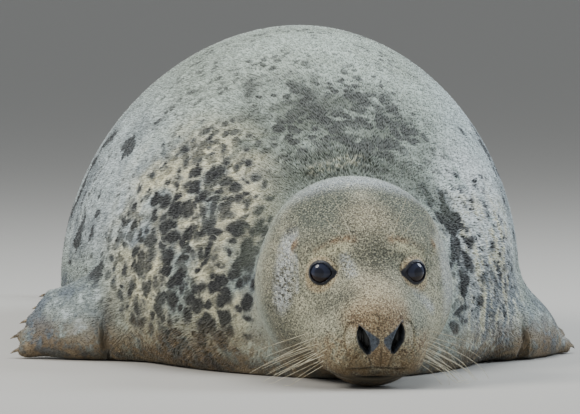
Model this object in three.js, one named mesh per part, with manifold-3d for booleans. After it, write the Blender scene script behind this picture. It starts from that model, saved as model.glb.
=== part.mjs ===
// A grey seal cow lying on her belly, chin on the ground, as a still life-size model.
// Millimetres. +Z is up, the nose points to -Y and the seal's left side is +X.
// The flesh is one smooth field, below zero inside. Blanks are pushed out to it, and thin cuts part them.
import * as THREE from 'three';
import { mergeGeometries, mergeVertices } from 'three/addons/utils/BufferGeometryUtils.js';
import Module from 'manifold-3d';

const wasm = await Module();
wasm.setup();

// ---------- driving dimensions ----------

const GAP = 0.3;                    // clearance between neighbouring pieces
const FILLET = 12;                  // how far the trunk keeps the flesh that rounds into a limb

const HEAD_AT = [0, -700, 143];     // middle of the head at the eyes' level, where its own axes start
const HEAD_PITCH = 20;              // degrees that the muzzle points down
const EYE_RADIUS = 18.5;
const EYE_AT = [49.7, -18, -5];     // eyeball centre in the head's axes

const GIRTH_Y = 20;                 // where the trunk is thickest
const HALF_WIDTH = 285;
const BACK_HEIGHT = 409;
const LEAN = 24;                    // sideways lean of the back's crest
const TRUNK_ENDS = [-600, 920];
const BELLY_LEVEL = 44;             // height of the widest line at the ends of the trunk
const BELLY_RISE = 46;              // and how much higher it is at the girth
const SAG = 1.45;                   // depth below that line, as a share of its height
const CROWN_POWER = 1.94;           // roundness of the section above the widest line
const BASE_POWER = 2.9;             // and below it

const HEAD_CUT = 112;               // the head ends here behind the eyes, along its own axis
const NECK_END = -468;
const SHOULDER_END = -110;
const TRUNK_END = 420;

// The fuller the power and the root, the longer the profile stays thick.
const WIDTH_PROFILE = {
  front: { end: -620, power: 2.2, root: 0.6 },
  rear: { end: 955, power: 1.7, root: 0.95 },
};
const HEIGHT_PROFILE = {
  front: { end: -700, power: 2, root: 0.85 },
  rear: { end: 1020, power: 2, root: 1.1 },
};

// Lumps of the head in its own axes: centre, half sizes and how softly each runs into those before it.
const HEAD_LUMPS = [
  { name: 'cranium', at: [0, 72, -4], size: [88, 100, 60], blend: 30 },
  { name: 'cheek', at: [42, 52, -62], size: [62, 84, 60], blend: 30, paired: true },
  { name: 'mid face', at: [0, -18, -64], size: [83, 88, 52], blend: 30 },
  { name: 'muzzle', at: [0, -60, -66], size: [60, 58, 47], blend: 25 },
  { name: 'whisker pad', at: [29, -86, -76], size: [34, 35, 30], blend: 14, paired: true },
  { name: 'bridge', at: [0, -45, -24], size: [36, 74, 26], blend: 30 },
  { name: 'nose', at: [0, -108, -50], size: [26, 16, 21], blend: 12 },
  { name: 'chin', at: [0, -56, -99], size: [47, 54, 27], blend: 10 },
  { name: 'brow', at: [44, 16, 16], size: [30, 26, 20], blend: 20, paired: true },
];
const NAPE = { at: [0, -585, 110], size: [111, 135, 118] };
const NAPE_BLEND = 50;
const SHOULDER_BLEND = 30;

const NOSTRIL = { at: [18, -121, -47], size: [4.6, 13, 15], slant: 18 };
// The mouth's level at the lips and at its corner, and where the jaw ends behind it.
const MOUTH = { lips: -92, lipsY: -110, corner: -86, cornerY: -46, jawEndY: -26 };

// Fore limbs: root, sweep back from straight out and tilt of the back of the hand, in degrees.
const FORE = {
  right: { side: -1, root: [205, -262, 48], sweep: 26, tilt: 52 },
  left: { side: 1, root: [216, -318, 43], sweep: 55, tilt: 44 },
};
const FOREARM = { at: [30, 4, 0], size: [95, 62, 38] };
const HAND = { at: [98, -1, -2], size: [56, 52, 21] };
// Each toe: how far across the hand it lies and how far out it reaches.
const FORE_TOES = [[-40, 164], [-21, 169], [-1, 162], [18, 151], [34, 146]];
const FORE_TOE = { start: 80, baseRadius: 14, tipRadius: 11.5, blend: 10, webReach: 0.88 };
const WEB_RADIUS = 4.5;
const FORE_CLAW = { length: 17, radius: 3.6, droop: 4 };

const HIND = {
  right: { side: -1, root: [38, 800, 66] },
  left: { side: 1, root: [38, 800, 66] },
};
const HIND_SPLAY = 9;
const HIND_LEAN = 40;
const HIND_DROP = 0.03;
const ANKLE = { at: [40, 0, 0], size: [95, 40, 30] };
const WEB = { at: [155, 0, 0], size: [100, 46, 10] };
// Each toe: the angle at which it fans out and its reach.
const HIND_TOES = [[-13, 300], [-6.5, 268], [0, 252], [6.5, 268], [13, 295]];
const HIND_TOE = { start: 75, baseRadius: 12, tipRadius: 8, blend: 12, webReach: 0.94 };
const HIND_CLAW = { length: 13, radius: 2.8, droop: 1 };

const TAIL = { at: [0, 915, 72], size: [26, 75, 15] };
const LIMB_BLEND = 35;
const TAIL_BLEND = 20;

// ---------- the field ----------

const UP = new THREE.Vector3(0, 0, 1);
const radians = THREE.MathUtils.degToRad;
const COS = Math.cos(radians(HEAD_PITCH));
const SIN = Math.sin(radians(HEAD_PITCH));

const plus = (a, b, scale = 1) => [a[0] + b[0] * scale, a[1] + b[1] * scale, a[2] + b[2] * scale];
const dot = (a, b) => a[0] * b[0] + a[1] * b[1] + a[2] * b[2];

function toHead(p) {
  const [x, y, z] = plus(p, HEAD_AT, -1);
  return [x, y * COS + z * SIN, z * COS - y * SIN];
}

function fromHead([x, y, z]) {
  return plus([x, y * COS - z * SIN, y * SIN + z * COS], HEAD_AT);
}

function join(a, b, softness) {
  const h = Math.max(softness - Math.abs(a - b), 0) / softness;
  return Math.min(a, b) - h * h * softness / 4;
}

function lump(p, { at, size, paired }) {
  const x = ((paired ? Math.abs(p[0]) : p[0]) - at[0]) / size[0];
  const y = (p[1] - at[1]) / size[1];
  const z = (p[2] - at[2]) / size[2];
  const near = Math.hypot(x, y, z);
  return near * (near - 1) / Math.max(Math.hypot(x / size[0], y / size[1], z / size[2]), 1e-9);
}

function rod(p, a, b, radiusA, radiusB) {
  const along = plus(b, a, -1);
  const from = plus(p, a, -1);
  const t = THREE.MathUtils.clamp(dot(from, along) / dot(along, along), 0, 1);
  return Math.hypot(...plus(from, along, -t)) - (radiusA + (radiusB - radiusA) * t);
}

function profile(y, { front, rear }) {
  const { end, power, root } = y < GIRTH_Y ? front : rear;
  const t = THREE.MathUtils.clamp((y - GIRTH_Y) / (end - GIRTH_Y), 0, 1);
  return (1 - t ** power) ** root;
}

function trunkSection(y) {
  const plump = profile(y, WIDTH_PROFILE);
  return {
    plump,
    halfWidth: HALF_WIDTH * plump,
    top: BACK_HEIGHT * profile(y, HEIGHT_PROFILE),
    level: BELLY_LEVEL + BELLY_RISE * plump,
  };
}

function trunk([px, py, pz]) {
  const y = THREE.MathUtils.clamp(py, ...TRUNK_ENDS);
  const beyond = Math.abs(py - y);
  const { plump, halfWidth, top, level } = trunkSection(y);
  const x = Math.abs(px - LEAN * THREE.MathUtils.clamp(pz / BACK_HEIGHT, 0, 1) ** 1.5 * plump);
  const z = pz - level;
  const height = z > 0 ? top - level : level * SAG;
  const power = z > 0 ? CROWN_POWER : BASE_POWER;
  const s = ((x / halfWidth) ** power + (Math.abs(z) / height) ** power) ** (1 / power);
  const deepest = -Math.min(halfWidth, height);
  const d = s > 1e-4 ? Math.max(Math.hypot(x, z) * (s - 1) / s, deepest) : deepest;
  return beyond > 0 ? Math.hypot(Math.max(d, 0), beyond) + Math.min(d, 0) * 0.2 + beyond * 0.5 : d;
}

function head(p) {
  const q = toHead(p);
  return HEAD_LUMPS.reduce((d, part) => join(d, lump(q, part), part.blend), Infinity);
}

function body(p) {
  return join(trunk(p), join(head(p), lump(p, NAPE), NAPE_BLEND), SHOULDER_BLEND);
}

// A limb's own axes: along it, across it from the first toe to the last, and out of its back.
function turned(from, towards, angle) {
  return from.clone().multiplyScalar(Math.cos(angle)).addScaledVector(towards, Math.sin(angle));
}

function foreAxes({ side, root, sweep, tilt }) {
  const along = turned(new THREE.Vector3(side, 0, 0), new THREE.Vector3(0, 1, 0), radians(sweep));
  const inward = new THREE.Vector3(-side * along.y, Math.abs(along.x), 0);
  const across = turned(inward, UP, radians(tilt));
  const back = turned(UP, inward.negate(), radians(tilt));
  return { root: [side * root[0], root[1], root[2]], along, across, back };
}

function hindAxes({ side, root }) {
  const along = turned(new THREE.Vector3(0, 1, 0), new THREE.Vector3(side, 0, 0), radians(HIND_SPLAY));
  along.setZ(-HIND_DROP).normalize();
  const outward = new THREE.Vector3(side, 0, 0).addScaledVector(along, -side * along.x).normalize();
  const up = new THREE.Vector3().crossVectors(outward, along).multiplyScalar(side);
  const across = turned(up, outward, radians(HIND_LEAN));
  const back = turned(outward, up.negate(), radians(HIND_LEAN));
  return { root: [side * root[0], root[1], root[2]], along, across, back };
}

function limbAxes({ root, along, across, back }) {
  const axes = [along, across, back].map((v) => v.toArray());
  return {
    root,
    axes,
    inside: (p) => axes.map((axis) => dot(plus(p, root, -1), axis)),
    outside: (q) => axes.reduce((sum, axis, i) => plus(sum, axis, q[i]), root),
  };
}

const foreToeRods = FORE_TOES.map(([across, reach]) => ({
  start: [FORE_TOE.start, across * 0.8, -3],
  end: [reach - FORE_TOE.tipRadius, across * 1.08, -6],
}));
const hindToeRods = HIND_TOES.map(([fan, reach]) => ({
  start: [HIND_TOE.start, HIND_TOE.start * Math.tan(radians(fan)) * 0.8, 0],
  end: [reach * Math.cos(radians(fan)) - HIND_TOE.tipRadius, reach * Math.sin(radians(fan)), 0],
}));

// Between two neighbours in a row of toes.
function halfway(rods, i, key) {
  return plus(rods[i][key], rods[i - 1][key]).map((v) => v / 2);
}

function limb(axes, lumps, softness, rods, toe) {
  const webs = rods.slice(1).map((_, i) => {
    const start = halfway(rods, i + 1, 'start');
    return { start, end: plus(start, plus(halfway(rods, i + 1, 'end'), start, -1), toe.webReach) };
  });
  return (p) => {
    const q = axes.inside(p);
    let d = join(lump(q, lumps[0]), lump(q, lumps[1]), softness);
    for (const { start, end } of webs) d = join(d, rod(q, start, end, WEB_RADIUS, WEB_RADIUS), toe.blend);
    for (const { start, end } of rods) {
      d = join(d, rod(q, start, end, toe.baseRadius, toe.tipRadius), toe.blend);
    }
    return d;
  };
}

const limbs = {};
for (const [hand, stance] of Object.entries(FORE)) {
  const axes = limbAxes(foreAxes(stance));
  limbs[`fore_flipper_${hand}`] = {
    axes, rods: foreToeRods, claw: FORE_CLAW, clawName: `fore_claw_${hand}`,
    field: limb(axes, [FOREARM, HAND], 30, foreToeRods, FORE_TOE),
    toe: FORE_TOE, inner: 118, side: stance.side,
  };
}
for (const [hand, stance] of Object.entries(HIND)) {
  const axes = limbAxes(hindAxes(stance));
  limbs[`hind_flipper_${hand}`] = {
    axes, rods: hindToeRods, claw: HIND_CLAW, clawName: `hind_claw_${hand}`,
    field: limb(axes, [ANKLE, WEB], 20, hindToeRods, HIND_TOE),
    toe: HIND_TOE, inner: 120, side: stance.side,
  };
}

function seal(p) {
  const withLimbs = Object.values(limbs).reduce((d, { field }) => join(d, field(p), LIMB_BLEND), body(p));
  return join(withLimbs, lump(p, TAIL), TAIL_BLEND);
}

const onFloor = (field) => (p) => Math.max(field(p), -p[2]);
const flesh = onFloor(seal);

// ---------- blanks pushed out to the field ----------

const MARCH_STEP = 6;
const REACH = 520;
const HALVINGS = 14;

function surfaceDistance(field, origin, direction) {
  let near = 0;
  let far = MARCH_STEP;
  while (far < REACH && field(plus(origin, direction, far)) < 0) {
    near = far;
    far += MARCH_STEP;
  }
  for (let i = 0; i < HALVINGS; i += 1) {
    const middle = (near + far) / 2;
    if (field(plus(origin, direction, middle)) < 0) near = middle;
    else far = middle;
  }
  return near;
}

// A sphere's rings are spread along an axis from front to rear, with some in a round cap at each end,
// and each of its points is pushed out along its own ray.
function blank(field, { front, rear, back, caps, rings, around }) {
  const start = new THREE.Vector3(...front);
  const end = new THREE.Vector3(...rear);
  const forward = start.clone().sub(end).normalize();
  const up = back.clone().addScaledVector(forward, -back.dot(forward)).normalize();
  const sideways = new THREE.Vector3().crossVectors(up, forward);
  const geometry = new THREE.SphereGeometry(1, around, rings);
  const { position, uv } = geometry.attributes;
  for (let i = 0; i < position.count; i += 1) {
    const ring = Math.round((1 - uv.getY(i)) * rings);
    const beforeEnd = rings - ring;
    let lean = 0;
    if (ring < caps[0]) lean = (1 - ring / caps[0]) * Math.PI / 2;
    if (beforeEnd < caps[1]) lean = (beforeEnd / caps[1] - 1) * Math.PI / 2;
    const share = THREE.MathUtils.clamp((ring - caps[0]) / (rings - caps[0] - caps[1]), 0, 1);
    const turn = 2 * Math.PI * uv.getX(i);
    const pole = ring === 0 || beforeEnd === 0;
    const ray = turned(up, sideways, Math.PI - turn);
    ray.multiplyScalar(pole ? 0 : Math.cos(lean)).addScaledVector(forward, Math.sin(lean)).normalize();
    const origin = start.clone().lerp(end, share).toArray();
    const direction = ray.toArray();
    position.setXYZ(i, ...plus(origin, direction, surfaceDistance(field, origin, direction)));
  }
  return solid(geometry);
}

// A flat limb: two sheets that share a rim. Their columns run along the toes and between them, from
// where the limb leaves the trunk to the web's edge, and a column of the rim follows each outer toe.
function paddle(field, { axes, rods, inner, side }, rows) {
  const [, across, back] = axes.axes;
  const away = (vector) => vector.map((v) => -v);
  const lines = rods.flatMap((toe, i) => {
    if (i === 0) return [toe];
    return [{ start: halfway(rods, i, 'start'), end: halfway(rods, i, 'end') }, toe];
  }).map(({ start, end }) => {
    const step = plus(end, start, -1);
    const at = axes.outside(plus(start, step, (inner - start[0]) / step[0]));
    const along = new THREE.Vector3(...axes.outside(end)).sub(new THREE.Vector3(...axes.outside(start)));
    const direction = along.normalize().toArray();
    return {
      at, direction,
      ahead: surfaceDistance(field, at, direction),
      behind: surfaceDistance(field, at, away(direction)),
    };
  });
  const pointOn = ({ at, direction, ahead, behind }, share) => (
    plus(at, direction, share * (ahead + behind) - behind)
  );
  const pushed = (from, direction) => plus(from, direction, surfaceDistance(field, from, direction));
  const columns = lines.length + 1;
  const sheet = (face) => {
    const geometry = new THREE.PlaneGeometry(1, 1, columns, rows);
    const { position, uv } = geometry.attributes;
    for (let i = 0; i < position.count; i += 1) {
      const column = Math.round(uv.getX(i) * columns);
      const row = Math.round(uv.getY(i) * rows);
      const share = (1 - Math.cos(Math.PI * row / rows)) / 2;
      let point;
      if (column === 0 || column === columns) {
        const outer = column === 0 ? lines[0] : lines[lines.length - 1];
        const from = pointOn(outer, THREE.MathUtils.clamp(share, 0.03, 0.95));
        point = pushed(from, column === 0 ? away(across) : across);
      } else {
        point = pointOn(lines[column - 1], share);
        if (row > 0 && row < rows) point = pushed(point, face > 0 ? back : away(back));
      }
      position.setXYZ(i, ...point);
    }
    return geometry;
  };
  const top = sheet(1);
  const underside = sheet(-1);
  const corners = (side > 0 ? top : underside).index.array;
  for (let i = 0; i < corners.length; i += 3) [corners[i], corners[i + 1]] = [corners[i + 1], corners[i]];
  return solid(mergeGeometries([top, underside]));
}

// ---------- solids ----------

function solid(geometry) {
  const bare = geometry.clone();
  bare.deleteAttribute('normal');
  bare.deleteAttribute('uv');
  const merged = mergeVertices(bare, 1e-3);
  return new wasm.Manifold(new wasm.Mesh({
    numProp: 3,
    vertProperties: new Float32Array(merged.attributes.position.array),
    triVerts: new Uint32Array(merged.index.array),
  }));
}

function geometryOf(cut) {
  const { vertProperties, triVerts } = cut.getMesh();
  const geometry = new THREE.BufferGeometry();
  geometry.setAttribute('position', new THREE.BufferAttribute(new Float32Array(vertProperties), 3));
  geometry.setIndex(new THREE.BufferAttribute(new Uint32Array(triVerts), 1));
  geometry.computeVertexNormals();
  return geometry;
}

const BLOCK = 1600;

// Everything between two levels along Y.
function slice(from, to) {
  return solid(new THREE.BoxGeometry(BLOCK, to - from, BLOCK).translate(0, (from + to) / 2, 0));
}

// Everything ahead of a level along the head's own axis.
function ahead(level) {
  const geometry = new THREE.BoxGeometry(BLOCK, BLOCK, BLOCK).translate(0, level - BLOCK / 2, 0);
  return solid(geometry.rotateX(radians(HEAD_PITCH)).translate(...HEAD_AT));
}

// What lies below the mouth: an outline in the head's own axes, drawn across the whole head.
function belowMouth(grown) {
  const outline = new THREE.Shape();
  outline.moveTo(-BLOCK, MOUTH.lips + grown);
  outline.lineTo(MOUTH.lipsY, MOUTH.lips + grown);
  outline.lineTo(MOUTH.cornerY + grown, MOUTH.corner + grown);
  outline.lineTo(MOUTH.jawEndY + grown, -BLOCK);
  outline.lineTo(-BLOCK, -BLOCK);
  const geometry = new THREE.ExtrudeGeometry(outline, { depth: BLOCK, bevelEnabled: false });
  geometry.translate(0, 0, -BLOCK / 2);
  geometry.applyMatrix4(new THREE.Matrix4().makeBasis(
    new THREE.Vector3(0, 1, 0), new THREE.Vector3(0, 0, 1), new THREE.Vector3(1, 0, 0),
  ));
  return solid(geometry.rotateX(radians(HEAD_PITCH)).translate(...HEAD_AT));
}

function eyeball(side, radius) {
  const [x, y, z] = fromHead([side * EYE_AT[0], EYE_AT[1], EYE_AT[2]]);
  return solid(new THREE.SphereGeometry(radius, 12, 8).rotateX(Math.PI / 2).translate(x, y, z));
}

function nostril(side) {
  const [x, y, z] = NOSTRIL.at;
  const geometry = new THREE.SphereGeometry(1, 10, 8).scale(...NOSTRIL.size);
  geometry.rotateY(side * radians(NOSTRIL.slant)).translate(side * x, y, z);
  return solid(geometry.rotateX(radians(HEAD_PITCH)).translate(...HEAD_AT));
}

// A claw grows out of the back of a toe's tip and droops towards its point.
function claw({ axes, toe, claw: { length, radius, droop } }, { start, end }) {
  const outline = [[0, -radius], [radius, 0], [radius * 0.7, length * 0.55], [0, length]];
  const geometry = new THREE.LatheGeometry(outline.map(([r, y]) => new THREE.Vector2(r, y)), 5);
  const { position } = geometry.attributes;
  for (let i = 0; i < position.count; i += 1) {
    position.setZ(i, position.getZ(i) - droop * Math.max(position.getY(i) / length, 0) ** 2);
  }
  const tip = new THREE.Vector3(...axes.outside(end));
  const along = tip.clone().sub(new THREE.Vector3(...axes.outside(start))).normalize();
  const back = new THREE.Vector3(...axes.axes[2]);
  back.addScaledVector(along, -along.dot(back)).normalize();
  const across = new THREE.Vector3().crossVectors(along, back);
  geometry.applyMatrix4(new THREE.Matrix4().makeBasis(across, along, back));
  tip.addScaledVector(along, toe.tipRadius * 0.45).addScaledVector(back, toe.tipRadius * 0.3);
  return solid(geometry.translate(...tip.toArray()));
}

// ---------- the seal ----------

const OVERSHOOT = 40;               // how far a blank runs past the level where it is cut
const pieces = {};

const headAndNeck = blank((p) => Math.max(flesh(p), p[1] - NECK_END - OVERSHOOT), {
  front: fromHead([0, -60, -62]), rear: [0, NECK_END + OVERSHOOT - 5, 112], back: UP,
  caps: [12, 2], rings: 32, around: 38,
});
const aheadOfNeck = headAndNeck.intersect(ahead(HEAD_CUT));
let skull = aheadOfNeck;
for (const [hand, side] of [['right', -1], ['left', 1]]) {
  pieces[`eye_${hand}`] = eyeball(side, EYE_RADIUS);
  skull = skull.subtract(eyeball(side, EYE_RADIUS + GAP)).subtract(nostril(side));
}
pieces.head = skull.subtract(belowMouth(GAP));
pieces.lower_jaw = skull.intersect(belowMouth(0));
pieces.neck = headAndNeck.subtract(ahead(HEAD_CUT + GAP)).intersect(slice(-BLOCK, NECK_END));

// The torso keeps only the first of the flesh that rounds out into each limb; the limb has the rest.
const torsoBlank = (grown) => blank(
  (p) => Math.max(flesh(p), body(p) - FILLET, NECK_END - OVERSHOOT - p[1]) - grown,
  {
    front: [0, NECK_END - OVERSHOOT + 5, 112], rear: [0, 870, 60], back: UP,
    caps: [2, 4], rings: 30, around: 34,
  },
);
const torso = torsoBlank(0);
const aroundTorso = torsoBlank(GAP);
pieces.shoulders = torso.intersect(slice(NECK_END + GAP, SHOULDER_END));
pieces.trunk = torso.intersect(slice(SHOULDER_END + GAP, TRUNK_END));
pieces.hindquarters = torso.intersect(slice(TRUNK_END + GAP, BLOCK));

const clearOfBody = (p) => FILLET - 6 - body(p);
const tailField = (p) => Math.max(flesh(p), clearOfBody(p), lump(p, TAIL) - 10);
const tailBlank = (grown) => blank((p) => tailField(p) - grown, {
  front: plus(TAIL.at, [0, 30, 0]), rear: plus(TAIL.at, [0, 55, 0]), back: UP,
  caps: [3, 2], rings: 7, around: 10,
});
const tail = tailBlank(0);
const aroundTail = tailBlank(GAP);
pieces.tail = tail.subtract(aroundTorso);

const PADDLE_ROWS = 8;
for (const [name, part] of Object.entries(limbs)) {
  const ownSide = (p) => GAP - part.side * p[0];
  const reach = (grown) => (p) => Math.max(flesh(p), clearOfBody(p), ownSide(p)) - grown;
  pieces[name] = paddle(reach(0), part, PADDLE_ROWS).subtract(aroundTorso).subtract(aroundTail);
  const aroundLimb = paddle(reach(GAP), part, PADDLE_ROWS);
  part.rods.forEach((rod, i) => {
    pieces[`${part.clawName}_${i + 1}`] = claw(part, rod).subtract(aroundLimb).subtract(aroundTorso);
  });
}

const COAT = {
  head: 0x8f8a78, lower_jaw: 0x7d6d58, neck: 0x8b8d80, shoulders: 0x9a9c90, trunk: 0x9da096,
  hindquarters: 0x8f9088, tail: 0x6f706c, fore_flipper: 0x85837a, hind_flipper: 0x77756e,
};
const finishOf = (name) => {
  if (name.startsWith('eye')) return { color: 0x0c0b0d, roughness: 0.05, metalness: 0 };
  if (name.includes('claw')) return { color: 0x3a332b, roughness: 0.45, metalness: 0 };
  return { color: COAT[name.replace(/_(left|right)$/, '')], roughness: 0.85, metalness: 0 };
};

const sealGroup = new THREE.Group();
for (const [name, cut] of Object.entries(pieces)) {
  const mesh = new THREE.Mesh(geometryOf(cut), new THREE.MeshStandardMaterial(finishOf(name)));
  mesh.name = name;
  sealGroup.add(mesh);
}

// The origin is the middle of the seal's box, on the floor.
const box = new THREE.Box3().setFromObject(sealGroup);
const middle = box.getCenter(new THREE.Vector3());
sealGroup.position.set(-middle.x, -middle.y, -box.min.z);

const model = new THREE.Group();
model.add(sealGroup);
export default model;
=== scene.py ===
"""Skin, coat, eyes, claws and whiskers of a life-size grey seal cow lying on her belly.

Metres. +Z is up, the nose points to -Y and the seal's left side is +X.
"""

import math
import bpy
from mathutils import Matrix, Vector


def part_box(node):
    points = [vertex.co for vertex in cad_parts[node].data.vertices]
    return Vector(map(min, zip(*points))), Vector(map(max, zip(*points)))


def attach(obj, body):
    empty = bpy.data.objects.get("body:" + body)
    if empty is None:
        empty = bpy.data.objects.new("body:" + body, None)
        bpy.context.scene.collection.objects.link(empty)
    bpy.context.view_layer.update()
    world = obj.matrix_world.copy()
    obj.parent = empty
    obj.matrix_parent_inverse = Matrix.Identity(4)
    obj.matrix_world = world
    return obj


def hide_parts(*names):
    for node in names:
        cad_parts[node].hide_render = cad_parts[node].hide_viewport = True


bl_info = {
    "name": "Grey seal",
    "version": (1, 0, 0),
    "blender": (4, 5, 0),
    "location": "View3D > Sidebar > Seal",
    "description": "Builds the skin, coat, eyes, claws and whiskers of a life-size grey seal",
    "category": "Add Mesh",
}

import bmesh
import bpy
import numpy as np
from bpy.props import FloatProperty, FloatVectorProperty, IntProperty, PointerProperty
from mathutils import Vector

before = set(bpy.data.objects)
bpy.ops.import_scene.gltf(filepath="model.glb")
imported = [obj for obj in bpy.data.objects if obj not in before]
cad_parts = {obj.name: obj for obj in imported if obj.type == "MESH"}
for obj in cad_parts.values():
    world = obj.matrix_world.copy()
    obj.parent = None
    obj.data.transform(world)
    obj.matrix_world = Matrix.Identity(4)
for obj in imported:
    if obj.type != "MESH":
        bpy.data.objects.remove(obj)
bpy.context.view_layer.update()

FLESH = [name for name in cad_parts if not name.startswith("eye") and "claw" not in name]
SIDES = {"right": -1, "left": 1}

# ---------- the seal's form, as in the solids ----------

HEAD_AT = np.array([0, -0.700, 0.143])
HEAD_PITCH = math.radians(20)
EYE_AT = np.array([0.0497, -0.018, -0.005])
EYE_RADIUS = 0.0185

GIRTH_Y = 0.020
HALF_WIDTH = 0.285
BACK_HEIGHT = 0.409
LEAN = 0.024
TRUNK_ENDS = (-0.600, 0.920)
BELLY_LEVEL = 0.044
BELLY_RISE = 0.046
SAG = 1.45
CROWN_POWER = 1.94
BASE_POWER = 2.9
# Where each profile ends, its power and its root, ahead of the girth and behind it.
WIDTH_PROFILE = ((-0.620, 2.2, 0.6), (0.955, 1.7, 0.95))
HEIGHT_PROFILE = ((-0.700, 2.0, 0.85), (1.020, 2.0, 1.1))

# Lumps of the head in its own axes: centre, half sizes, softness and whether there is one on each side.
HEAD_LUMPS = {
    "cranium": ((0, 0.072, -0.004), (0.088, 0.100, 0.060), 0.030, False),
    "cheek": ((0.042, 0.052, -0.062), (0.062, 0.084, 0.060), 0.030, True),
    "mid face": ((0, -0.018, -0.064), (0.083, 0.088, 0.052), 0.030, False),
    "muzzle": ((0, -0.060, -0.066), (0.060, 0.058, 0.047), 0.025, False),
    "whisker pad": ((0.029, -0.086, -0.076), (0.034, 0.035, 0.030), 0.014, True),
    "bridge": ((0, -0.045, -0.024), (0.036, 0.074, 0.026), 0.030, False),
    "nose": ((0, -0.108, -0.050), (0.026, 0.016, 0.021), 0.012, False),
    "chin": ((0, -0.056, -0.099), (0.047, 0.054, 0.027), 0.010, False),
    "brow": ((0.044, 0.016, 0.016), (0.030, 0.026, 0.020), 0.020, True),
}
NAPE = ((0, -0.585, 0.110), (0.111, 0.135, 0.118))
NAPE_BLEND = 0.050
SHOULDER_BLEND = 0.030

# Fore limbs: root, sweep and tilt. Hind limbs: root, splay, lean and drop.
FORE = {"right": ((0.205, -0.262, 0.048), 26, 52), "left": ((0.216, -0.318, 0.043), 55, 44)}
FORE_LUMPS = (((0.030, 0.004, 0), (0.095, 0.062, 0.038)),
              ((0.098, -0.001, -0.002), (0.056, 0.052, 0.021)))
FORE_TOES = ((-0.040, 0.164), (-0.021, 0.169), (-0.001, 0.162), (0.018, 0.151), (0.034, 0.146))
FORE_TOE = {"start": 0.080, "base": 0.014, "tip": 0.0115, "blend": 0.010, "web": 0.88, "softness": 0.030}
HIND_ROOT = (0.038, 0.800, 0.066)
HIND_SPLAY = math.radians(9)
HIND_LEAN = math.radians(40)
HIND_DROP = 0.03
HIND_LUMPS = (((0.040, 0, 0), (0.095, 0.040, 0.030)), ((0.155, 0, 0), (0.100, 0.046, 0.010)))
HIND_TOES = ((-13, 0.300), (-6.5, 0.268), (0, 0.252), (6.5, 0.268), (13, 0.295))
HIND_TOE = {"start": 0.075, "base": 0.012, "tip": 0.008, "blend": 0.012, "web": 0.94, "softness": 0.020}
WEB_RADIUS = 0.0045
LIMB_MIDDLE = (0.13, 0, 0)
LIMB_REACH = 0.26
LIMB_BLEND = 0.035
TAIL = ((0, 0.915, 0.072), (0.026, 0.075, 0.015))
TAIL_BLEND = 0.020

COS, SIN = math.cos(HEAD_PITCH), math.sin(HEAD_PITCH)
HEAD_AXES = np.array([[1, 0, 0], [0, COS, SIN], [0, -SIN, COS]])


def to_head(p):
    return (p - HEAD_AT) @ HEAD_AXES.T


def from_head(q):
    return np.asarray(q, float) @ HEAD_AXES + HEAD_AT


def middle_of(node):
    low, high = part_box(node)
    return (np.array(low) + np.array(high)) / 2


# The form has its own origin; the frame's origin is this far from it.
SHIFT = (middle_of("eye_right") + middle_of("eye_left")) / 2 - from_head(EYE_AT * [0, 1, 1])


def unit(v):
    return v / np.maximum(np.linalg.norm(v, axis=-1, keepdims=True), 1e-12)


def smooth(low, high, values):
    """0 below low and 1 above high, with a soft run between them."""
    t = np.clip((values - low) / (high - low), 0, 1)
    return t * t * (3 - 2 * t)


def bell(distance, width):
    """1 at no distance, falling softly to 0 well beyond the width."""
    return np.exp(-(distance / width) ** 2)


def join(a, b, softness):
    """The union of two fields, with a soft seam."""
    h = np.maximum(softness - np.abs(a - b), 0) / softness
    return np.minimum(a, b) - h * h * softness / 4


def lump(p, at, size, paired=False):
    """The distance from an ellipsoid, or from the nearer of a pair."""
    if paired:
        p = np.stack([np.abs(p[:, 0]), p[:, 1], p[:, 2]], 1)
    scaled = (p - at) / size
    near = np.linalg.norm(scaled, axis=1)
    return near * (near - 1) / np.maximum(np.linalg.norm(scaled / np.array(size), axis=1), 1e-9)


def rod(p, start, end, radius_start, radius_end):
    """The distance from a tapering rod with round ends."""
    along = end - start
    t = np.clip((p - start) @ along / (along @ along), 0, 1)
    away = np.linalg.norm(p - start - t[:, None] * along, axis=1)
    return away - (radius_start + (radius_end - radius_start) * t)


def profile(y, ends):
    """The trunk's width or height along it, in shares of the most."""
    ahead = y < GIRTH_Y
    end, power, root = (np.where(ahead, front, rear) for front, rear in zip(*ends))
    t = np.clip((y - GIRTH_Y) / (end - GIRTH_Y), 0, 1)
    return (1 - t ** power) ** root


def trunk(p):
    """A rounded barrel that leans a little to the left and is flatter below."""
    y = np.clip(p[:, 1], *TRUNK_ENDS)
    beyond = np.abs(p[:, 1] - y)
    plump = profile(y, WIDTH_PROFILE)
    half_width = HALF_WIDTH * plump
    top = BACK_HEIGHT * profile(y, HEIGHT_PROFILE)
    level = BELLY_LEVEL + BELLY_RISE * plump
    x = np.abs(p[:, 0] - LEAN * np.clip(p[:, 2] / BACK_HEIGHT, 0, 1) ** 1.5 * plump)
    z = p[:, 2] - level
    height = np.where(z > 0, top - level, level * SAG)
    power = np.where(z > 0, CROWN_POWER, BASE_POWER)
    s = ((x / half_width) ** power + (np.abs(z) / height) ** power) ** (1 / power)
    deepest = -np.minimum(half_width, height)
    d = np.where(s > 1e-4, np.maximum(np.hypot(x, z) * (s - 1) / np.maximum(s, 1e-4), deepest), deepest)
    past_end = np.hypot(np.maximum(d, 0), beyond) + np.minimum(d, 0) * 0.2 + beyond * 0.5
    return np.where(beyond > 0, past_end, d)


def body(p):
    """The head, the nape and the trunk as one field."""
    q = to_head(p)
    d = np.full(len(p), 1e3)
    for at, size, softness, paired in HEAD_LUMPS.values():
        d = join(d, lump(q, at, size, paired), softness)
    return join(trunk(p), join(d, lump(p, *NAPE), NAPE_BLEND), SHOULDER_BLEND)


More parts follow.
